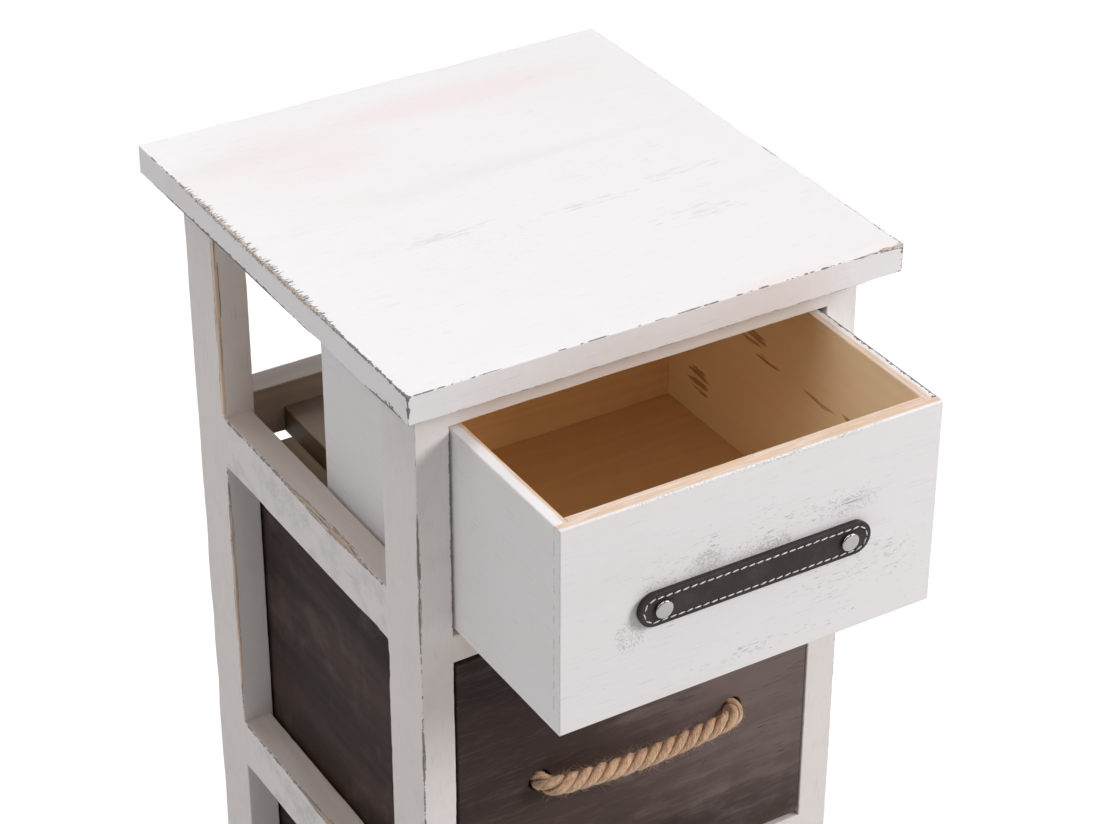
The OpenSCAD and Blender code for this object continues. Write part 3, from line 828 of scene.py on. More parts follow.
@dataclass
class WornTimber:
    """A board or a rail of the frame, with arrises that are dented by use.

    Attributes:
        node: The CAD node that it stands for.
        others: Lowest and highest corners of the timbers that it may meet. Where it
            does, its arrises stay square, because paint hides such a joint.
        step: Distance between the cuts along the timber.
        ease: Width of the eased arris, in metres.
        dent: Depth of the deepest dents.
        thick: Sides at least this long are cut up, so that their arrises can be dented.
        joint: How near to a joint the dents are shallower.
        broad: Waves in a metre of the wear.
        fine: Waves in a metre of the small chips.
    """

    node: str
    others: list[tuple[Vector, Vector]]
    step: float = 4.0 * MM
    ease: float = 0.6 * MM
    dent: float = 0.4 * MM
    thick: float = 60.0 * MM
    joint: float = 10.0 * MM
    broad: float = 28.0
    fine: float = 190.0

    def met(self, point: Vector, slack: float) -> bool:
        """Whether a point lies against another timber, to within some slack."""
        return any(
            all(low[a] - slack < point[a] < high[a] + slack for a in range(3))
            for low, high in self.others
        )

    def build(self) -> Mesh:
        """Builds the timber in place, with the attribute free on its mesh."""
        low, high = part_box(self.node)
        size = high - low
        mesh = bmesh.new()
        bmesh.ops.create_cube(mesh, size=1.0)
        bmesh.ops.scale(mesh, vec=size, verts=mesh.verts)
        bmesh.ops.translate(mesh, vec=(low + high) / 2, verts=mesh.verts)
        long = max(range(3), key=lambda a: size[a])
        for bound in {round(corner[long], 5) for pair in self.others for corner in pair}:
            if low[long] + 0.5 * MM < bound < high[long] - 0.5 * MM:
                self.cut(mesh, long, bound)
        arrises = [
            edge
            for edge in mesh.edges
            if edge.calc_face_angle(0.0) > 1.0
            and not self.met((edge.verts[0].co + edge.verts[1].co) / 2, 0.1 * MM)
        ]
        bmesh.ops.bevel(
            mesh, geom=arrises, offset=self.ease, segments=2, profile=0.5, affect="EDGES",
            material=-1,
        )
        for axis in range(3):
            parts = round(size[axis] / self.step) if size[axis] >= self.thick else 1
            for index in range(1, parts):
                self.cut(mesh, axis, low[axis] + size[axis] * index / parts)
        self.knock(mesh, low, high)
        return mesh

    @staticmethod
    def cut(mesh: Mesh, axis: int, place: float) -> None:
        """Cuts the whole mesh square to an axis."""
        across = Vector(ORIGIN)
        across[axis] = 1.0
        geom = [*mesh.verts, *mesh.edges, *mesh.faces]
        bmesh.ops.bisect_plane(mesh, geom=geom, plane_co=across * place, plane_no=across)

    def knock(self, mesh: Mesh, low: Vector, high: Vector) -> None:
        """Dents the free arrises of a timber with these corners, some places more."""
        free = mesh.verts.layers.float.new("free")
        for vert in mesh.verts:
            if self.met(vert.co, 0.9 * MM):
                continue
            vert[free] = 1.0
            near = [min(vert.co[a] - low[a], high[a] - vert.co[a]) for a in range(3)]
            axes = [a for a in range(3) if near[a] < 1.2 * self.ease]
            if len(axes) < 2:
                continue
            worn = max(0.0, noise.noise(vert.co * self.broad + Vector((7.0, 3.0, 1.0))))
            chip = max(0.0, noise.noise(vert.co * self.fine) - 0.15)
            depth = self.dent * (1.4 * worn + 0.7 * chip + 0.05)
            if self.met(vert.co, self.joint):
                depth *= 0.25
            for a in axes:
                vert.co[a] += depth if vert.co[a] - low[a] < high[a] - vert.co[a] else -depth


class Carcass:
    """The open frame with its top board, rails and runners."""

    body: str = "frame"
    # What all the painted timbers below the top board have in common.
    aged: dict[str, float | bool | Colour] = {
        "wash": Paint.AGED, "strokes": 0.02, "dashes": 0.06, "ink": 0.5, "rim": 0.70,
        "jointed": True,
    }

    @staticmethod
    def top_board() -> WashedBoard:
        """The top board's finish, most worn along its left side."""
        low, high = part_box("top_board")
        left, right, front, top = low.x, high.x, low.y, high.z
        return WashedBoard(
            "top_board", Grain.X, 11.0, reach=1.5 * MM, line=0.62 * MM, share=0.02,
            ragged=110.0, strokes=0.02, dashes=0.05, warmth=0.10, ink=0.25,
            spots=(
                Spot((right - 0.004, front, top - 0.0005), (0.036, 0.004, 0.003)),
                Spot((left, front + 0.195, top), (0.02, 0.075, 0.006)),
                Spot((left, front + 0.145, top), (0.02, 0.070, 0.006)),
                Spot((left, front + 0.100, top), (0.012, 0.045, 0.004)),
            ),
            chips=(
                Spot((left, front + 0.02, top), (0.004, 0.14, 0.004)),
                Spot((left, front, top - 0.004), (0.004, 0.004, 0.010)),
                Spot((right - 0.03, front - 0.004, top), (0.14, 0.0055, 0.0055)),
                Spot((right, front + 0.020, top), (0.004, 0.060, 0.004)),
                Spot((right, front, top - 0.008), (0.006, 0.006, 0.016)),
                Spot((right, front + 0.115, top), (0.004, 0.012, 0.004)),
            ),
            gouges=(
                Spot((left, front + 0.022, low.z), (0.010, 0.022, 0.009)),
                Spot((left, front + 0.19, low.z), (0.006, 0.120, 0.004)),
            ),
            scuffs=(
                Spot((0.085, 0.018, top), (0.050, 0.010, 0.02)),
                Spot((0.030, 0.012, top), (0.060, 0.008, 0.02)),
                Spot((-0.060, 0.020, top), (0.070, 0.009, 0.02)),
                Spot((0.070, -0.022, top), (0.050, 0.014, 0.02)),
                Spot((-0.095, -0.062, top), (0.006, 0.003, 0.02)),
            ),
            dashed=(
                Spot((0.06, 0.045, top), (0.09, 0.03, 0.02)),
                Spot((-0.03, 0.0, top), (0.12, 0.04, 0.02)),
            ),
            blush=(
                Spot((left + 0.055, 0.125, top), (0.08, 0.060, 0.03)),
                Spot((left + 0.10, 0.075, top), (0.09, 0.022, 0.03)),
                Spot((0.03, 0.155, top), (0.12, 0.022, 0.03)),
                Spot((0.06, front, top - 0.008), (0.05, 0.01, 0.02)),
            ),
        )

    def post(self, side: str, place: str, seed: float) -> WashedBoard:
        """A post's finish: a front post has a fine dark arris, with painted shade along the arris
        beside the drawers, and a rear one a bare strip.
        """
        node = f"{place}_{side}_post"
        low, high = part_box(node)
        outer, inward = (low.x, 1.0) if side == "left" else (high.x, -1.0)
        # Worn places by height and radius across and up, chipped ones by side, height
        # and radius up; all are on the arrises of the post's front face.
        if place == "front":
            reach, ragged, worn = 1.3 * MM, 70.0, (Paint.UMBER, Paint.UMBER_DARK)
            patches = ((0.500, 0.003, 0.052), (0.396, 0.003, 0.020))
            # The second chips, on the inner arris beside the drawers, are painted shade of the gap
            # there.
            chipped = ((outer, 0.400, 0.16), (outer + inward * 18.5 * MM, 0.52, 0.14))
        else:
            reach, ragged, worn = 4.2 * MM, 24.0, (Paint.STRIPPED, Paint.STRIPPED_DARK)
            patches = ((0.535, 0.004, 0.090), (0.365, 0.003, 0.080))
            chipped = ((outer, 0.40, 0.22),)
        return WashedBoard(
            node, Grain.Z, seed, reach=reach, share=0.05, worn=worn, ragged=ragged, mottle=0.08,
            spots=tuple(Spot((outer, low.y, z), (wide, wide, tall)) for z, wide, tall in patches),
            chips=tuple(Spot((x, low.y, z), (0.003, 0.003, tall)) for x, z, tall in chipped),
            **self.aged,
        )

    def cross_rail(self, level: str, place: str, seed: float) -> WashedBoard:
        """A front or rear rail's finish; the lower rear ones are bare inside, with painted shade on
        top and on the inner face.
        """
        umber = (Paint.UMBER, Paint.UMBER_DARK)
        hidden = {}
        if place == "rear" and level != "top":
            # The bare top and inner face of these rails are painted shade.
            bare = (Paint.PAINTED_SHADE, Paint.SHADED)
            hidden = {"painted": Face.BACK, "creep": 0.5 * MM, "rimmed": False, "bare": bare}
        return WashedBoard(
            f"{place}_{level}_rail", Grain.X, seed, share=0.1, worn=umber, **hidden, **self.aged
        )

    def side_rail(self, side: str, level: str, seed: float) -> WashedBoard:
        """A side rail's finish, bare inside and on top with painted shade there, and worn along its
        upper outer arris.
        """
        node = f"{side}_{level}_side_rail"
        low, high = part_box(node)
        outer = low.x if side == "left" else high.x
        return WashedBoard(
            node, Grain.Y, seed, reach=2.2 * MM, line=0.48 * MM, share=0.05, ragged=60.0,
            mottle=0.30, painted=Face[side.upper()], creep=0.4 * MM, rimmed=False,
            spots=(Spot((outer, 0.016, high.z), (0.006, 0.056, 0.006)),),
            chips=(Spot((outer, 0.04, high.z), (0.006, 0.22, 0.006)),),
            specks=(Spot((outer, 0.060, high.z - 0.012), (0.004, 0.060, 0.020)),),
            # The bare colours on the top and inner face are painted shade.
            worn=(Paint.TAN_DARK, Paint.UMBER), bare=(Paint.PAINTED_SHADE, Paint.PAINTED_SHADE_DARK),
            **self.aged,
        )

    def timbers(self) -> list[WashedBoard]:
        """The finishes of the visible timbers."""
        seeds = count(27.0, 7.0)
        sides = ("left", "right")
        kinds = (
            (self.post, sides, ("front", "rear")),
            (self.cross_rail, ("top", "upper", "lower", "bottom"), ("front", "rear")),
            (self.side_rail, sides, ("upper", "lower", "bottom")),
        )
        made = [kind(*names, next(seeds)) for kind, *parts in kinds for names in product(*parts)]
        return [self.top_board(), *made]

    def build(self) -> None:
        """Builds the timbers and dresses the dividers, runners, dowels and screws."""
        finishes = self.timbers()
        boxes = {finish.node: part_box(finish.node) for finish in finishes}
        for finish in finishes:
            node = finish.node
            others = [box for name, box in boxes.items() if name != node]
            timber = WornTimber(node, others, step=6.0 * MM if node == "top_board" else 4.0 * MM)
            material = finish.make(*boxes[node])
            Workshop.piece(
                "worn_" + node, timber.build(), self.body, material, node, "white_paint", False
            )
        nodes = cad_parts
        seeds = count(205.0, 5.0)
        # Painted shade: the runners and the dividers' edges are dark brown, deep in the frame.
        brown = (Paint.RUNNER_SHADE, Paint.RUNNER_SHADE_DARK)
        for level, side in product(("upper", "middle", "lower"), ("left", "right")):
            runner = nodes[f"{level}_{side}_runner"]
            RawBoard(f"{level}_{side}_runner", Grain.Y, next(seeds), bare=brown).dress(runner)
            Workshop.soften(runner, 0.2 * MM)
        for level in ("upper", "lower", "bottom"):
            node = f"{level}_divider"
            # The dividers' wash is painted shade as well.
            WashedBoard(
                node, Grain.Y, next(seeds), wash=Paint.SHADED_DARK, painted=Face.TOP, bare=brown
            ).dress(nodes[node])
            Workshop.soften(nodes[node], 0.4 * MM)
        for kind in ("front_rail", "rear_rail", "side_rail", "divider"):
            RawBoard(f"{kind}_dowels", Grain.X, 260.0).dress(nodes[f"{kind}_dowels"])
        zinc = Metal(Paint.ZINC, 0.35).make("zinc_plate")
        for node in ("runner_screws", "top_board_screws", "pull_stud_screws"):
            Workshop.lay(nodes[node], zinc)


@dataclass
class Drawer:
    """A drawer box of five boards.

    Attributes:
        level: upper, middle or lower.
        seed: Sets its boards' patterns apart.
    """

    level: str
    seed: float

    def white_boards(self, name: str) -> list[Board]:
        """The finishes of the upper drawer's outer boards."""
        low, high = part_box(name + "_front")
        front, foot, top = low.y, low.z, high.z
        inner, side_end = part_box(name + "_right_side")
        right, rear = inner.x, side_end.y
        strap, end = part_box("pull_strap")
        left, far, grip = strap.x, end.x, end.z

        def on_front(*rows: tuple[float, float, float, float]) -> Spots:
            """Spots on the front, from place and radius across and up."""
            return tuple(Spot((x, front, z), (wide, 0.01, tall)) for x, z, wide, tall in rows)

        # Distance from the back and from the top, and radius along and up.
        knots = (
            (0.084, 0.037, 0.026, 0.009),
            (0.100, 0.044, 0.022, 0.0065),
            (0.037, 0.090, 0.021, 0.017),
            (0.144, 0.046, 0.030, 0.0045),
            (0.172, 0.043, 0.020, 0.0035),
        )
        return [
            WashedBoard(
                name + "_front", Grain.X, self.seed, share=0.03, reach=0.6 * MM, line=0.3 * MM,
                dashes=0.16, ink=0.8, painted=Face.FRONT, creep=1.0 * MM,
                scuffs=on_front((far - 0.006, grip + 0.012, 0.026, 0.008)),
                dashed=on_front(
                    (far - 0.014, grip + 0.012, 0.045, 0.020),
                    (0.060, foot + 0.036, 0.060, 0.028),
                    (-0.020, grip + 0.012, 0.085, 0.020),
                    (0.02, foot + 0.010, 0.10, 0.008),
                ),
                specks=on_front(
                    (left + 0.014, grip + 0.001, 0.026, 0.014),
                    (left + 0.038, grip + 0.004, 0.030, 0.018),
                    (left + 0.062, grip + 0.003, 0.024, 0.016),
                    (left + 0.080, grip + 0.001, 0.020, 0.012),
                    (left - 0.003, grip - 0.022, 0.018, 0.026),
                    (far - 0.008, grip + 0.010, 0.036, 0.016),
                    (0.0, top, 0.18, 0.0035),
                ),
            ),
            WashedBoard(
                name + "_left_side", Grain.Y, self.seed + 1, share=0.05, reach=0.6 * MM,
                line=0.2 * MM, strokes=0.03, dashes=0.05, painted=Face.LEFT, creep=5.2 * MM,
            ),
            # The right side's bare inner face is painted lighter, as painted light.
            WashedBoard(
                name + "_right_side", Grain.Y, self.seed + 2, share=0.1, reach=0.6 * MM,
                line=0.42 * MM, rim=0.85, strokes=0.05, painted=Face.RIGHT, creep=3.4 * MM,
                bare=(Paint.RAW_PAINTED_LIT, Paint.RAW_PAINTED_LIT_DARK),
                gouges=(Spot((right + 0.0075, -0.07, top), (0.004, 0.80, 0.02)),),
                knots=tuple(
                    Spot((right, rear - back, top - down), (0.02, deep, tall))
                    for back, down, deep, tall in knots
                ),
            ),
        ]

    def brown_boards(self, name: str) -> list[Board]:
        """The finishes of a deep drawer's outer boards."""
        low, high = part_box(name + "_front")
        front = StainedBoard(
            name + "_front", Grain.X, self.seed, share=0.2, strokes=0.45,
            # Painted light on the front's right part and painted shade at its upper left.
            pale=(Spot((0.110, low.y, high.z - 0.050), (0.16, 0.02, 0.15)),),
            deep=(Spot((low.x + 0.010, low.y, high.z - 0.060), (0.10, 0.02, 0.14)),),
            painted=Face.FRONT, creep=8.0 * MM,
        )
        sides = [
            StainedBoard(
                f"{name}_{face.name.lower()}_side", Grain.Y, self.seed + number, share=0.2,
                strokes=0.30, streaky=0.15, painted=face, creep=6.0 * MM,
            )
            for number, face in ((1, Face.LEFT), (2, Face.RIGHT))
        ]
        return [front, *sides]

    def build(self) -> None:
        """Dresses the drawer's boards."""
        name = f"{self.level}_drawer"
        outer = self.white_boards if self.level == "upper" else self.brown_boards
        ply = (Paint.PLY_LIGHT, Paint.PLY_DARK)
        boards = [
            *outer(name),
            RawBoard(name + "_back", Grain.X, self.seed + 3),
            RawBoard(name + "_bottom", Grain.X, self.seed + 4, bare=ply),
        ]
        for board in boards:
            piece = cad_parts[board.node]
            board.dress(piece)
            if not board.node.endswith("bottom"):
                Workshop.soften(piece, 0.2 * MM)


@dataclass
class StrapPull:
    """The leather strap on the upper drawer: two layers, stitched, on two studs.

    Attributes:
        inset: Distance of the stitches from the strap's outline.
        pitch: Distance from one stitch to the next.
        stitch: Length of a stitch.
        thread: Thickness of the thread.
        sunk: How deep the thread lies in the leather.
        lean: How far a stitch leans and how much that varies, in degrees.
        stud: Radius of a stud's head.
        stud_height: Height of a stud's head.
    """

    inset: float = 2.7 * MM
    pitch: float = 4.6 * MM
    stitch: float = 4.0 * MM
    thread: float = 0.70 * MM
    sunk: float = 0.08 * MM
    lean: tuple[float, float] = (7.0, 4.0)
    stud: float = 4.85 * MM
    stud_height: float = 2.0 * MM
    body: str = "upper_drawer"

    def stadium(self, node: str, arris: float, groove: bool) -> Mesh:
        """A strap layer with round ends and a rounded arris.

        Args:
            node: The CAD node that gives its place and size.
            arris: Radius of the arris.
            groove: Whether the face has the groove that the stitches lie in.

        Returns:
            The layer's mesh, in place.
        """
        low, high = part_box(node)
        size, middle = high - low, (low + high) / 2
        radius = size.z / 2
        mesh = bmesh.new()
        # Half a segment's turn keeps every point off the middle, where the ends part.
        aside = Matrix.Rotation(math.radians(2.5), 4, "Z")
        bmesh.ops.create_circle(mesh, cap_ends=True, radius=radius, segments=72, matrix=aside)
        for vert in mesh.verts:
            vert.co.x += math.copysign(size.x / 2 - radius, vert.co.x)
        raised = bmesh.ops.extrude_face_region(mesh, geom=mesh.faces[:])["geom"]
        lifted = [item for item in raised if isinstance(item, bmesh.types.BMVert)]
        bmesh.ops.translate(mesh, vec=(0, 0, size.y), verts=lifted)
        rim = [
            edge
            for edge in mesh.edges
            if all(vert.co.z > size.y / 2 for vert in edge.verts) and len(edge.link_faces) == 2
        ]
        bmesh.ops.bevel(
            mesh, geom=rim, offset=arris, segments=4, profile=0.5, affect="EDGES", material=-1
        )
        if groove:
            level = [f for f in mesh.faces if f.calc_center_median().z > 0.99 * size.y]
            top = max(level, key=lambda f: f.calc_area())
            flank, bed, depth = 0.5 * MM, 0.4 * MM, 0.28 * MM
            margin = self.inset - arris - flank - bed / 2
            for width, rise in ((margin, 0.0), (flank, -depth), (bed, 0.0), (flank, depth)):
                bmesh.ops.inset_region(mesh, faces=[top], thickness=width, depth=rise)
        bmesh.ops.transform(mesh, matrix=UPRIGHT, verts=mesh.verts)
        bmesh.ops.translate(mesh, vec=(middle.x, high.y, middle.z), verts=mesh.verts)
        return mesh

    def seam(self) -> list[tuple[Vector, float]]:
        """Middle and slope of each stitch along the seam, seen from the front."""
        low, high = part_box("pull_strap")
        centre = Vector(((low.x + high.x) / 2, low.y, (low.z + high.z) / 2))
        size = high - low
        radius, straight = size.z / 2 - self.inset, size.x - size.z
        half = straight + math.pi * radius
        stitches = round(2 * half / self.pitch)
        places = []
        for index in range(stitches):
            # The seam's second half is the first one, turned by half a turn.
            again, run = divmod(2 * half * (index + 0.5) / stitches, half)
            turn = max(0.0, run - straight) / radius
            across = min(run, straight) - straight / 2 + radius * math.sin(turn)
            at = Vector((across, 0, radius * math.cos(turn)))
            places.append((centre + (-at if again else at), -turn - math.pi * again))
        return places

    def stitches(self) -> Mesh:
        """All the stitches on the strap's face."""
        mesh = bmesh.new()
        rng = random.Random(5)
        usual, varied = self.lean
        for at, slope in self.seam():
            lean = math.radians(usual + rng.uniform(-varied, varied))
            shape = (
                Matrix.Translation(at - Vector((0, self.sunk, 0)))
                @ Matrix.Rotation(-slope - lean, 4, "Y")
                @ Matrix.Diagonal((self.stitch / 2, self.thread / 2, self.thread / 2, 1.0))
            )
            bmesh.ops.create_uvsphere(mesh, u_segments=8, v_segments=6, radius=1.0, matrix=shape)
        return mesh

    def studs(self) -> Mesh:
        """Both studs: a flat collar with a domed cap."""
        low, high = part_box("pull_studs")
        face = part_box("pull_strap")[0].y
        # Distance from the axis and height above the strap, as shares of the head's.
        profile = (
            (0.0, 0.0), (0.80, 0.0), (0.80, 0.30), (0.96, 0.36), (1.0, 0.45), (1.0, 0.66),
            (0.975, 0.80), (0.92, 0.90), (0.82, 0.95), (0.60, 0.98), (0.30, 0.997), (0.0, 1.0),
        )
        mesh = bmesh.new()
        verts = [
            mesh.verts.new((out * self.stud, 0.0, up * self.stud_height)) for out, up in profile
        ]
        edges = [mesh.edges.new(pair) for pair in pairwise(verts)]
        bmesh.ops.spin(
            mesh, geom=verts + edges, cent=ORIGIN, axis=(0, 0, 1), angle=TURN, steps=40,
            use_merge=True,
        )
        bmesh.ops.remove_doubles(mesh, verts=mesh.verts, dist=MERGE)
        place = Matrix.Translation((low.x + self.stud, face, (low.z + high.z) / 2)) @ UPRIGHT
        bmesh.ops.transform(mesh, matrix=place, verts=mesh.verts)
        other = bmesh.ops.duplicate(mesh, geom=[*mesh.verts, *mesh.edges, *mesh.faces])["geom"]
        moved = [item for item in other if isinstance(item, bmesh.types.BMVert)]
        bmesh.ops.translate(mesh, vec=(high.x - low.x - 2 * self.stud, 0, 0), verts=moved)
        return mesh

    def build(self) -> None:
        """Builds the strap's layers, stitches and studs."""
        leather = Leather().make("strap_leather")
        for name, node, arris, groove in (
            ("strap_face", "pull_strap", 0.55 * MM, True),
            ("strap_lining", "pull_strap_backing", 0.4 * MM, False),
        ):
            shape = self.stadium(node, arris, groove)
            layer = Workshop.piece(name, shape, self.body, leather, node, "leather")
            layer.modifiers.new("even_normals", "WEIGHTED_NORMAL").keep_sharp = True
        linen = Thread().make("linen_thread")
        Workshop.piece("strap_stitches", self.stitches(), self.body, linen, slot="leather")
        nickel = Metal(Paint.NICKEL, 0.22).make("nickel_plate")
        Workshop.piece("strap_studs", self.studs(), self.body, nickel, "pull_studs", "nickel")


@dataclass
class RopePull:
    """A rope through two holes of a deep drawer's front, knotted behind it.

    Attributes:
        level: middle or lower.
        seed: Sets its fibres apart.
        strand: Radius of a strand.
        spread: Distance of the strands' lines from the rope's.
        lay: Length in which a strand goes round once.
        plump: How much thicker the rope is in its middle than at its ends.
        yarns: How many yarns show round a strand.
        yarn_lay: Length in which a yarn goes round once, as a share of the lay.
        ridge: How far the yarns stand out, as a share of the strand's radius.
        lumpy: How uneven a strand is, as a share of its radius.
        hairs: How many loose fibres stand off the rope.
        hair: Radius of a loose fibre at its root.
        spacing: Distance between the holes.
        half: The route's left half, from the hole, in metres: in from the hole,
            behind the front's face and over the hole.
    """

    level: str
    seed: int
    strand: float = 2.62 * MM
    spread: float = 2.42 * MM
    lay: float = 26.0 * MM
    plump: float = 0.02
    yarns: int = 5
    yarn_lay: float = 0.60
    ridge: float = 0.075
    lumpy: float = 0.07
    hairs: int = 2000
    hair: float = 0.055 * MM
    spacing: float = 119.0 * MM
    half: tuple[Triple, ...] = (
        (0.0, 0.0092, 0.0),
        (0.0, 0.005, 0.0),
        (0.0, 0.0, 0.0),
        (0.0006, -0.0031, -0.0001),
        (0.0023, -0.0057, -0.0003),
        (0.0049, -0.0074, -0.0006),
        (0.008, -0.008, -0.001),
        (0.014, -0.0082, -0.0016),
        (0.022, -0.0084, -0.0023),
        (0.032, -0.0085, -0.003),
        (0.045, -0.0085, -0.0038),
    )

    @property
    def body(self) -> str:
        """The body that the rope rides on."""
        return f"{self.level}_drawer"

    def route(self) -> list[Vector]:
        """The rope's line from the left knot to the right one."""
        low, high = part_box(self.body + "_front")
        start = Vector((-self.spacing / 2, low.y, (low.z + high.z) / 2))
        left = [start + Vector(point) for point in self.half]
        right = [Vector((-p.x, p.y, p.z)) for p in reversed(left)]
        middle = Vector((0.0, left[-1].y, left[-1].z - 0.4 * MM))
        return [*left, middle, *right]

    @staticmethod
    def smooth(points: Sequence[Vector], step: float) -> list[Vector]:
        """An even, smooth line through points, with its own points a step apart."""
        line: list[Vector] = []
        padded = [2 * points[0] - points[1], *points, 2 * points[-1] - points[-2]]
        for a, b, c, d in zip(padded, padded[1:], padded[2:], padded[3:]):
            parts = max(1, round((c - b).length / step))
            square = 2 * a - 5 * b + 4 * c - d
            cube = 3 * b - a - 3 * c + d
            for t in (index / parts for index in range(parts)):
                line.append(0.5 * (2 * b + (c - a) * t + square * t**2 + cube * t**3))
        return [*line, points[-1].copy()]

    @staticmethod
    def frames(line: Sequence[Vector]) -> list[tuple[Vector, Vector]]:
        """Two directions square to the line at each of its points, which don't twist."""
        ends = zip([line[0], *line], [*line[1:], line[-1]])
        ahead = [(after - before).normalized() for before, after in ends]
        side = ahead[0].orthogonal().normalized()
        found = []
        for before, now in zip([ahead[0], *ahead], ahead):
            side = before.rotation_difference(now) @ side
            side = (side - now * side.dot(now)).normalized()
            found.append((side, now.cross(side)))
        return found

    @staticmethod
    def swollen(plump: float, share: float) -> float:
        """Scale of the rope's thickness at a share of its length."""
        return 1.0 + plump * math.sin(math.pi * share) ** 0.6

    def lay_strands(
        self, mesh: Mesh, line: Sequence[Vector], squeeze: float, plump: float, sides: int = 30
    ) -> None:
        """Lays three strands along a line, with the twist of their yarns.

        Args:
            mesh: Takes the strands.
            line: The rope's line.
            squeeze: Scale of the rope's thickness.
            plump: How much thicker the rope is in its middle.
            sides: How many sides a strand has.
        """
        layers = mesh.verts.layers
        fibre = layers.float_vector.get("fibre") or layers.float_vector.new("fibre")
        groove = layers.float.get("groove") or layers.float.new("groove")
        run = [0.0]
        for a, b in pairwise(line):
            run.append(run[-1] + (b - a).length)
        scale = [squeeze * self.swollen(plump, s / run[-1]) for s in run]
        rows = len(line) - 1
        for number in range(3):
            angle = [-TURN * (s / self.lay + number / 3) for s in run]
            centre = [
                at + self.spread * thick * (side * math.cos(a) + up * math.sin(a))
                for at, (side, up), a, thick in zip(line, self.frames(line), angle, scale)
            ]
            own = self.frames(centre)
            made = bmesh.ops.create_grid(mesh, x_segments=rows, y_segments=sides, size=0.5)["verts"]
            for vert in made:
                row = round((vert.co.x + 0.5) * rows)
                turn = TURN * (round((vert.co.y + 0.5) * sides) % sides) / sides
                side, up = own[row]
                outward = (centre[row] - line[row]).normalized()
                yarn = turn + run[row] * TURN / (self.yarn_lay * self.lay)
                lump = Vector((1.3 * math.cos(turn), 1.3 * math.sin(turn), run[row] * 300.0))
                swell = 1.0 + self.ridge * (abs(math.cos(self.yarns / 2 * yarn)) - 0.6)
                swell += self.lumpy * noise.noise(lump + Vector((0.0, 5.0 * number, self.seed)))
                direction = side * math.cos(turn) + up * math.sin(turn)
                vert.co = centre[row] + direction * self.strand * scale[row] * swell
                vert[fibre] = Vector((math.cos(yarn), math.sin(yarn), run[row] * 10 + number * 7))
                # The groove value marks where the strands meet, for the painted shade in those
                # crevices.
                vert[groove] = max(0.0, min(1.0, 0.62 - direction.dot(outward)))
            bmesh.ops.remove_doubles(mesh, verts=made, dist=MERGE)
        bmesh.ops.holes_fill(mesh, edges=[e for e in mesh.edges if e.is_boundary], sides=0)

    @staticmethod
    def knot_line(hole: Vector) -> list[Vector]:
        """The rope's line in a stopper knot: round once and a half and out through it."""
        points = [hole.copy()]
        steps, turns, begin = 18, 1.55, 0.6
        widest, near, deep = 8.2 * MM, 5.2 * MM, 12.0 * MM
        for t in (index / steps for index in range(steps + 1)):
            a = TURN * turns * t + begin
            radius = widest * min(1.0, t * 5.0) * min(1.0, (1.0 - t) * 6.0)
            rise = near + deep * t
            points.append(hole + Vector((radius * math.cos(a), rise, radius * math.sin(a))))
        tail = ((0.001, 0.0215, -0.002), (0.002, 0.0270, -0.006), (0.002, 0.0290, -0.012))
        return [*points, *(hole + Vector(point) for point in tail)]

    def fuzz(self, line: Sequence[Vector]) -> Mesh:
        """Loose fibres that stand off the rope with this line."""
        rng = random.Random(self.seed)
        mesh = bmesh.new()
        fibre = mesh.verts.layers.float_vector.new("fibre")
        frames = self.frames(line)
        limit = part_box(self.body + "_front")[0].y - 0.3 * MM
        hairs: list[tuple[float, int, list[Vector], Vector, Vector]] = []
        # So many points at each end of the line carry no fibres.
        clear = 12
        while len(hairs) < self.hairs:
            index = rng.randrange(clear, len(line) - clear)
            side, up = frames[index]
            ahead = side.cross(up)
            angle = rng.uniform(0, TURN)
            out = side * math.cos(angle) + up * math.sin(angle)
            thick = self.swollen(self.plump, index / len(line))
            root = line[index] + out * (self.strand + self.spread) * thick * rng.uniform(0.80, 0.97)
            flow = (
                ahead * rng.choice((-1, 1))
                + out * rng.uniform(0.05, 0.75)
                + out.cross(ahead) * rng.uniform(-0.9, 0.9)
            ).normalized()
            bend = Vector([rng.uniform(-0.5, 0.5) for _ in range(3)])
            length = rng.uniform(1.2, 5.2) * MM
            spots = [root + (flow + bend * t) * length * t for t in (0.0, 0.35, 0.7, 1.0)]
            if all(spot.y < limit for spot in spots):
                across = flow.orthogonal().normalized()
                hairs.append((angle, index, spots, across, flow.cross(across)))
        # All fibres are cut from one grid, four rows of three points to each.
        last = 4 * self.hairs - 1
        bmesh.ops.create_grid(mesh, x_segments=last, y_segments=3, size=0.5)
        links = [
            face
            for face in mesh.faces
            if min(round((vert.co.x + 0.5) * last) for vert in face.verts) % 4 == 3
        ]
        bmesh.ops.delete(mesh, geom=links, context="FACES")
        for vert in mesh.verts:
            hair, row = divmod(round((vert.co.x + 0.5) * last), 4)
            turn = TURN * round((vert.co.y + 0.5) * 3) / 3
            angle, index, spots, across, over = hairs[hair]
            thick = self.hair * (1.0 - 0.2 * row)
            vert.co = spots[row] + (across * math.cos(turn) + over * math.sin(turn)) * thick
            vert[fibre] = Vector((angle, angle, index * 0.1))
        bmesh.ops.remove_doubles(mesh, verts=mesh.verts, dist=MERGE)
        return mesh

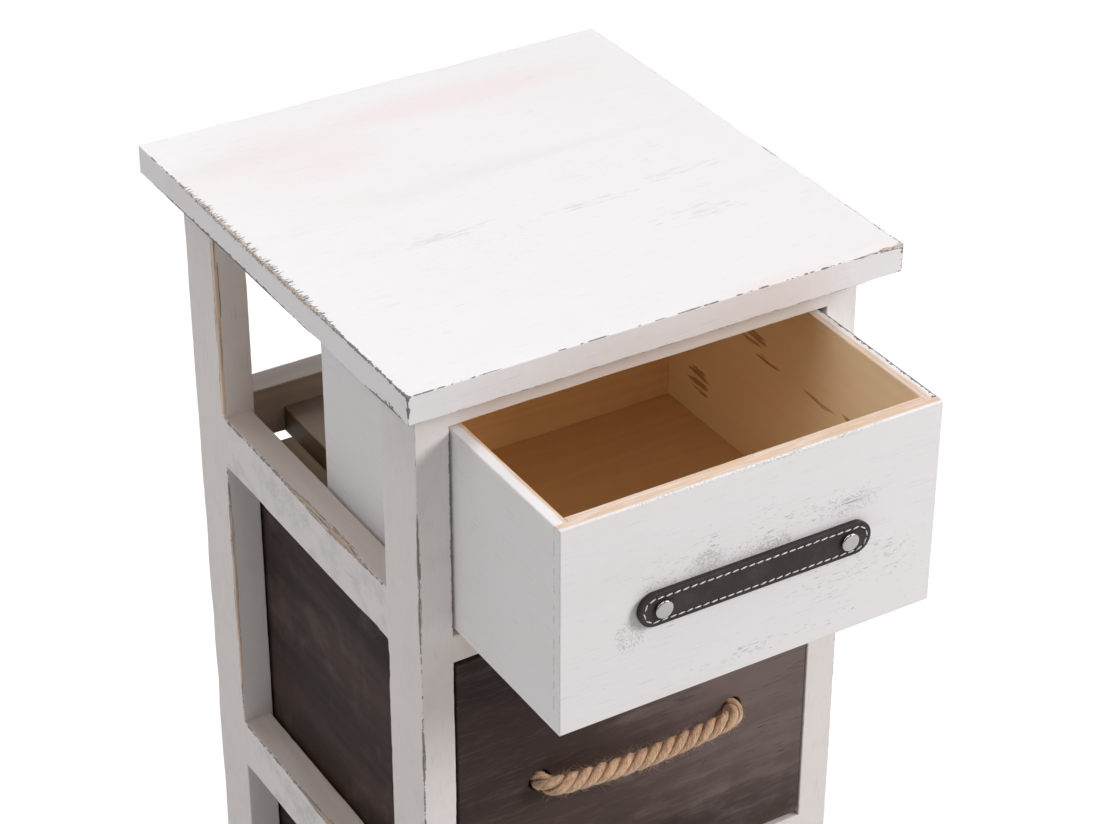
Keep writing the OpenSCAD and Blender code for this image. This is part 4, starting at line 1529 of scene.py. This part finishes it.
    def build(self) -> None:
        jute = Jute().make(f"jute_{self.level}")
        route = self.route()
        line = self.smooth(route, 0.7 * MM)
        mesh = bmesh.new()
        self.lay_strands(mesh, line, 1.0, self.plump)
        rope = Workshop.piece(
            f"{self.level}_rope", mesh, self.body, jute, f"{self.level}_rope_pull", "jute"
        )
        tangle = bmesh.new()
        for hole in (route[0], route[-1]):
            self.lay_strands(tangle, self.smooth(self.knot_line(hole), 1.0 * MM), 0.92, 0.0)
        knots = Workshop.piece(
            f"{self.level}_knots", tangle, self.body, jute, f"{self.level}_rope_knots", "jute"
        )
        loose = Workshop.piece(
            f"{self.level}_rope_fuzz", self.fuzz(line), self.body, jute, slot="jute"
        )


@dataclass
class Studio:
    """A pale floor, soft light and the camera.

    Attributes:
        place: Where the camera stands.
        target: What it looks at.
        lens: Its focal length in millimetres, on a sensor 36 mm wide.
        lit: The point that all lamps face.
        lamps: Name, place, side of its square face in metres, power in watts and colour
            of each lamp.
    """

    place: Triple = (-0.68608, -1.13562, 1.34454)
    target: Triple = (-0.03043, -0.04777, 0.54659)
    lens: float = 99.0
    lit: Triple = (0.0, 0.0, 0.45)
    lamps: tuple[tuple[str, Triple, float, float, Colour], ...] = (
        ("key_lamp", (2.3, -2.0, 1.9), 1.1, 79.0, (1.0, 0.985, 0.98)),
        ("front_lamp", (-0.3, -2.0, 2.7), 1.3, 6.0, (1.0, 0.99, 0.985)),
        ("top_lamp", (-0.3, -0.2, 3.1), 1.4, 23.5, (1.0, 0.995, 1.0)),
        ("left_lamp", (-1.9, -0.1, 2.15), 1.5, 15.5, (1.0, 0.985, 0.97)),
        ("back_lamp", (-0.4, 2.2, 2.1), 1.8, 29.0, (0.97, 0.985, 1.0)),
    )

    @staticmethod
    def stand(data: bpy.types.ID, place: Triple, target: Triple) -> bpy.types.Object:
        """Puts a camera or a lamp in its place, turned to its target."""
        made = bpy.data.objects.new(data.name, data)
        made.location = place
        made.rotation_mode = "QUATERNION"
        made.rotation_quaternion = (Vector(target) - Vector(place)).to_track_quat("-Z", "Y")
        bpy.context.scene.collection.objects.link(made)
        return made

    def camera(self) -> None:
        """Sets the camera at the photographed angle."""
        data = bpy.data.cameras.new("studio_camera")
        data.lens = self.lens
        data.sensor_width = 36.0
        data.clip_start, data.clip_end = 0.05, 60.0
        bpy.context.scene.camera = self.stand(data, self.place, self.target)

    def floor(self) -> None:
        """Lays the pale floor, which fades into the white background far off."""
        finish = Finish()
        net, place = finish.start("pale_floor")
        seen = net.node("LightPath").outputs["Is Camera Ray"]
        glow = net.ramp(net.vector("LENGTH", place), 1.2, 4.5, 0.42, 0.95)
        white = (1.0, 1.0, 1.0)
        material = finish.coat(
            net, Paint.dimmed(white, 0.64), 0.9, Specular_IOR_Level=0.0, Emission_Color=white,
            Emission_Strength=net.times_plus(seen, glow, 0.10),
        )
        mesh = bmesh.new()
        bmesh.ops.create_grid(mesh, x_segments=1, y_segments=1, size=9.0)
        Workshop.furnish("studio_floor", mesh, material)

    def light(self) -> None:
        """Hangs the lamps and sets the sky."""
        for name, place, size, power, colour in self.lamps:
            data = bpy.data.lights.new(name, "AREA")
            data.shape = "SQUARE"
            data.size = size
            data.energy = power
            data.color = colour
            self.stand(data, place, self.lit)
        world = bpy.data.worlds.new("studio_sky")
        bpy.context.scene.world = world
        world.use_nodes = True
        world.node_tree.nodes.clear()
        net = Net(world.node_tree)
        seen = net.node("LightPath").outputs["Is Camera Ray"]
        sky = net.node(
            "Background", Color=(1.0, 1.0, 1.0), Strength=net.ramp(seen, 0.0, 1.0, 0.10, 1.0)
        )
        net.node("OutputWorld", Surface=sky.outputs[0])
        view = bpy.context.scene.view_settings
        view.view_transform = "Standard"
        view.look = "None"
        view.exposure = 0.0
        view.gamma = 1.0

    def build(self) -> None:
        """Builds the whole studio."""
        self.camera()
        self.floor()
        self.light()


def main() -> None:
    """Builds the scene: studio and ropes first, then the frame and the drawers."""
    logging.basicConfig(level=logging.INFO, format="%(name)s: %(message)s")
    Studio().build()
    Finish.effects = Effects()
    for level, seed in (("middle", 3), ("lower", 8)):
        RopePull(level, seed).build()
    Carcass().build()
    for level, seed in (("upper", 40.0), ("middle", 57.0), ("lower", 73.0)):
        Drawer(level, seed).build()
    StrapPull().build()


if __name__ == "__main__":
    main()
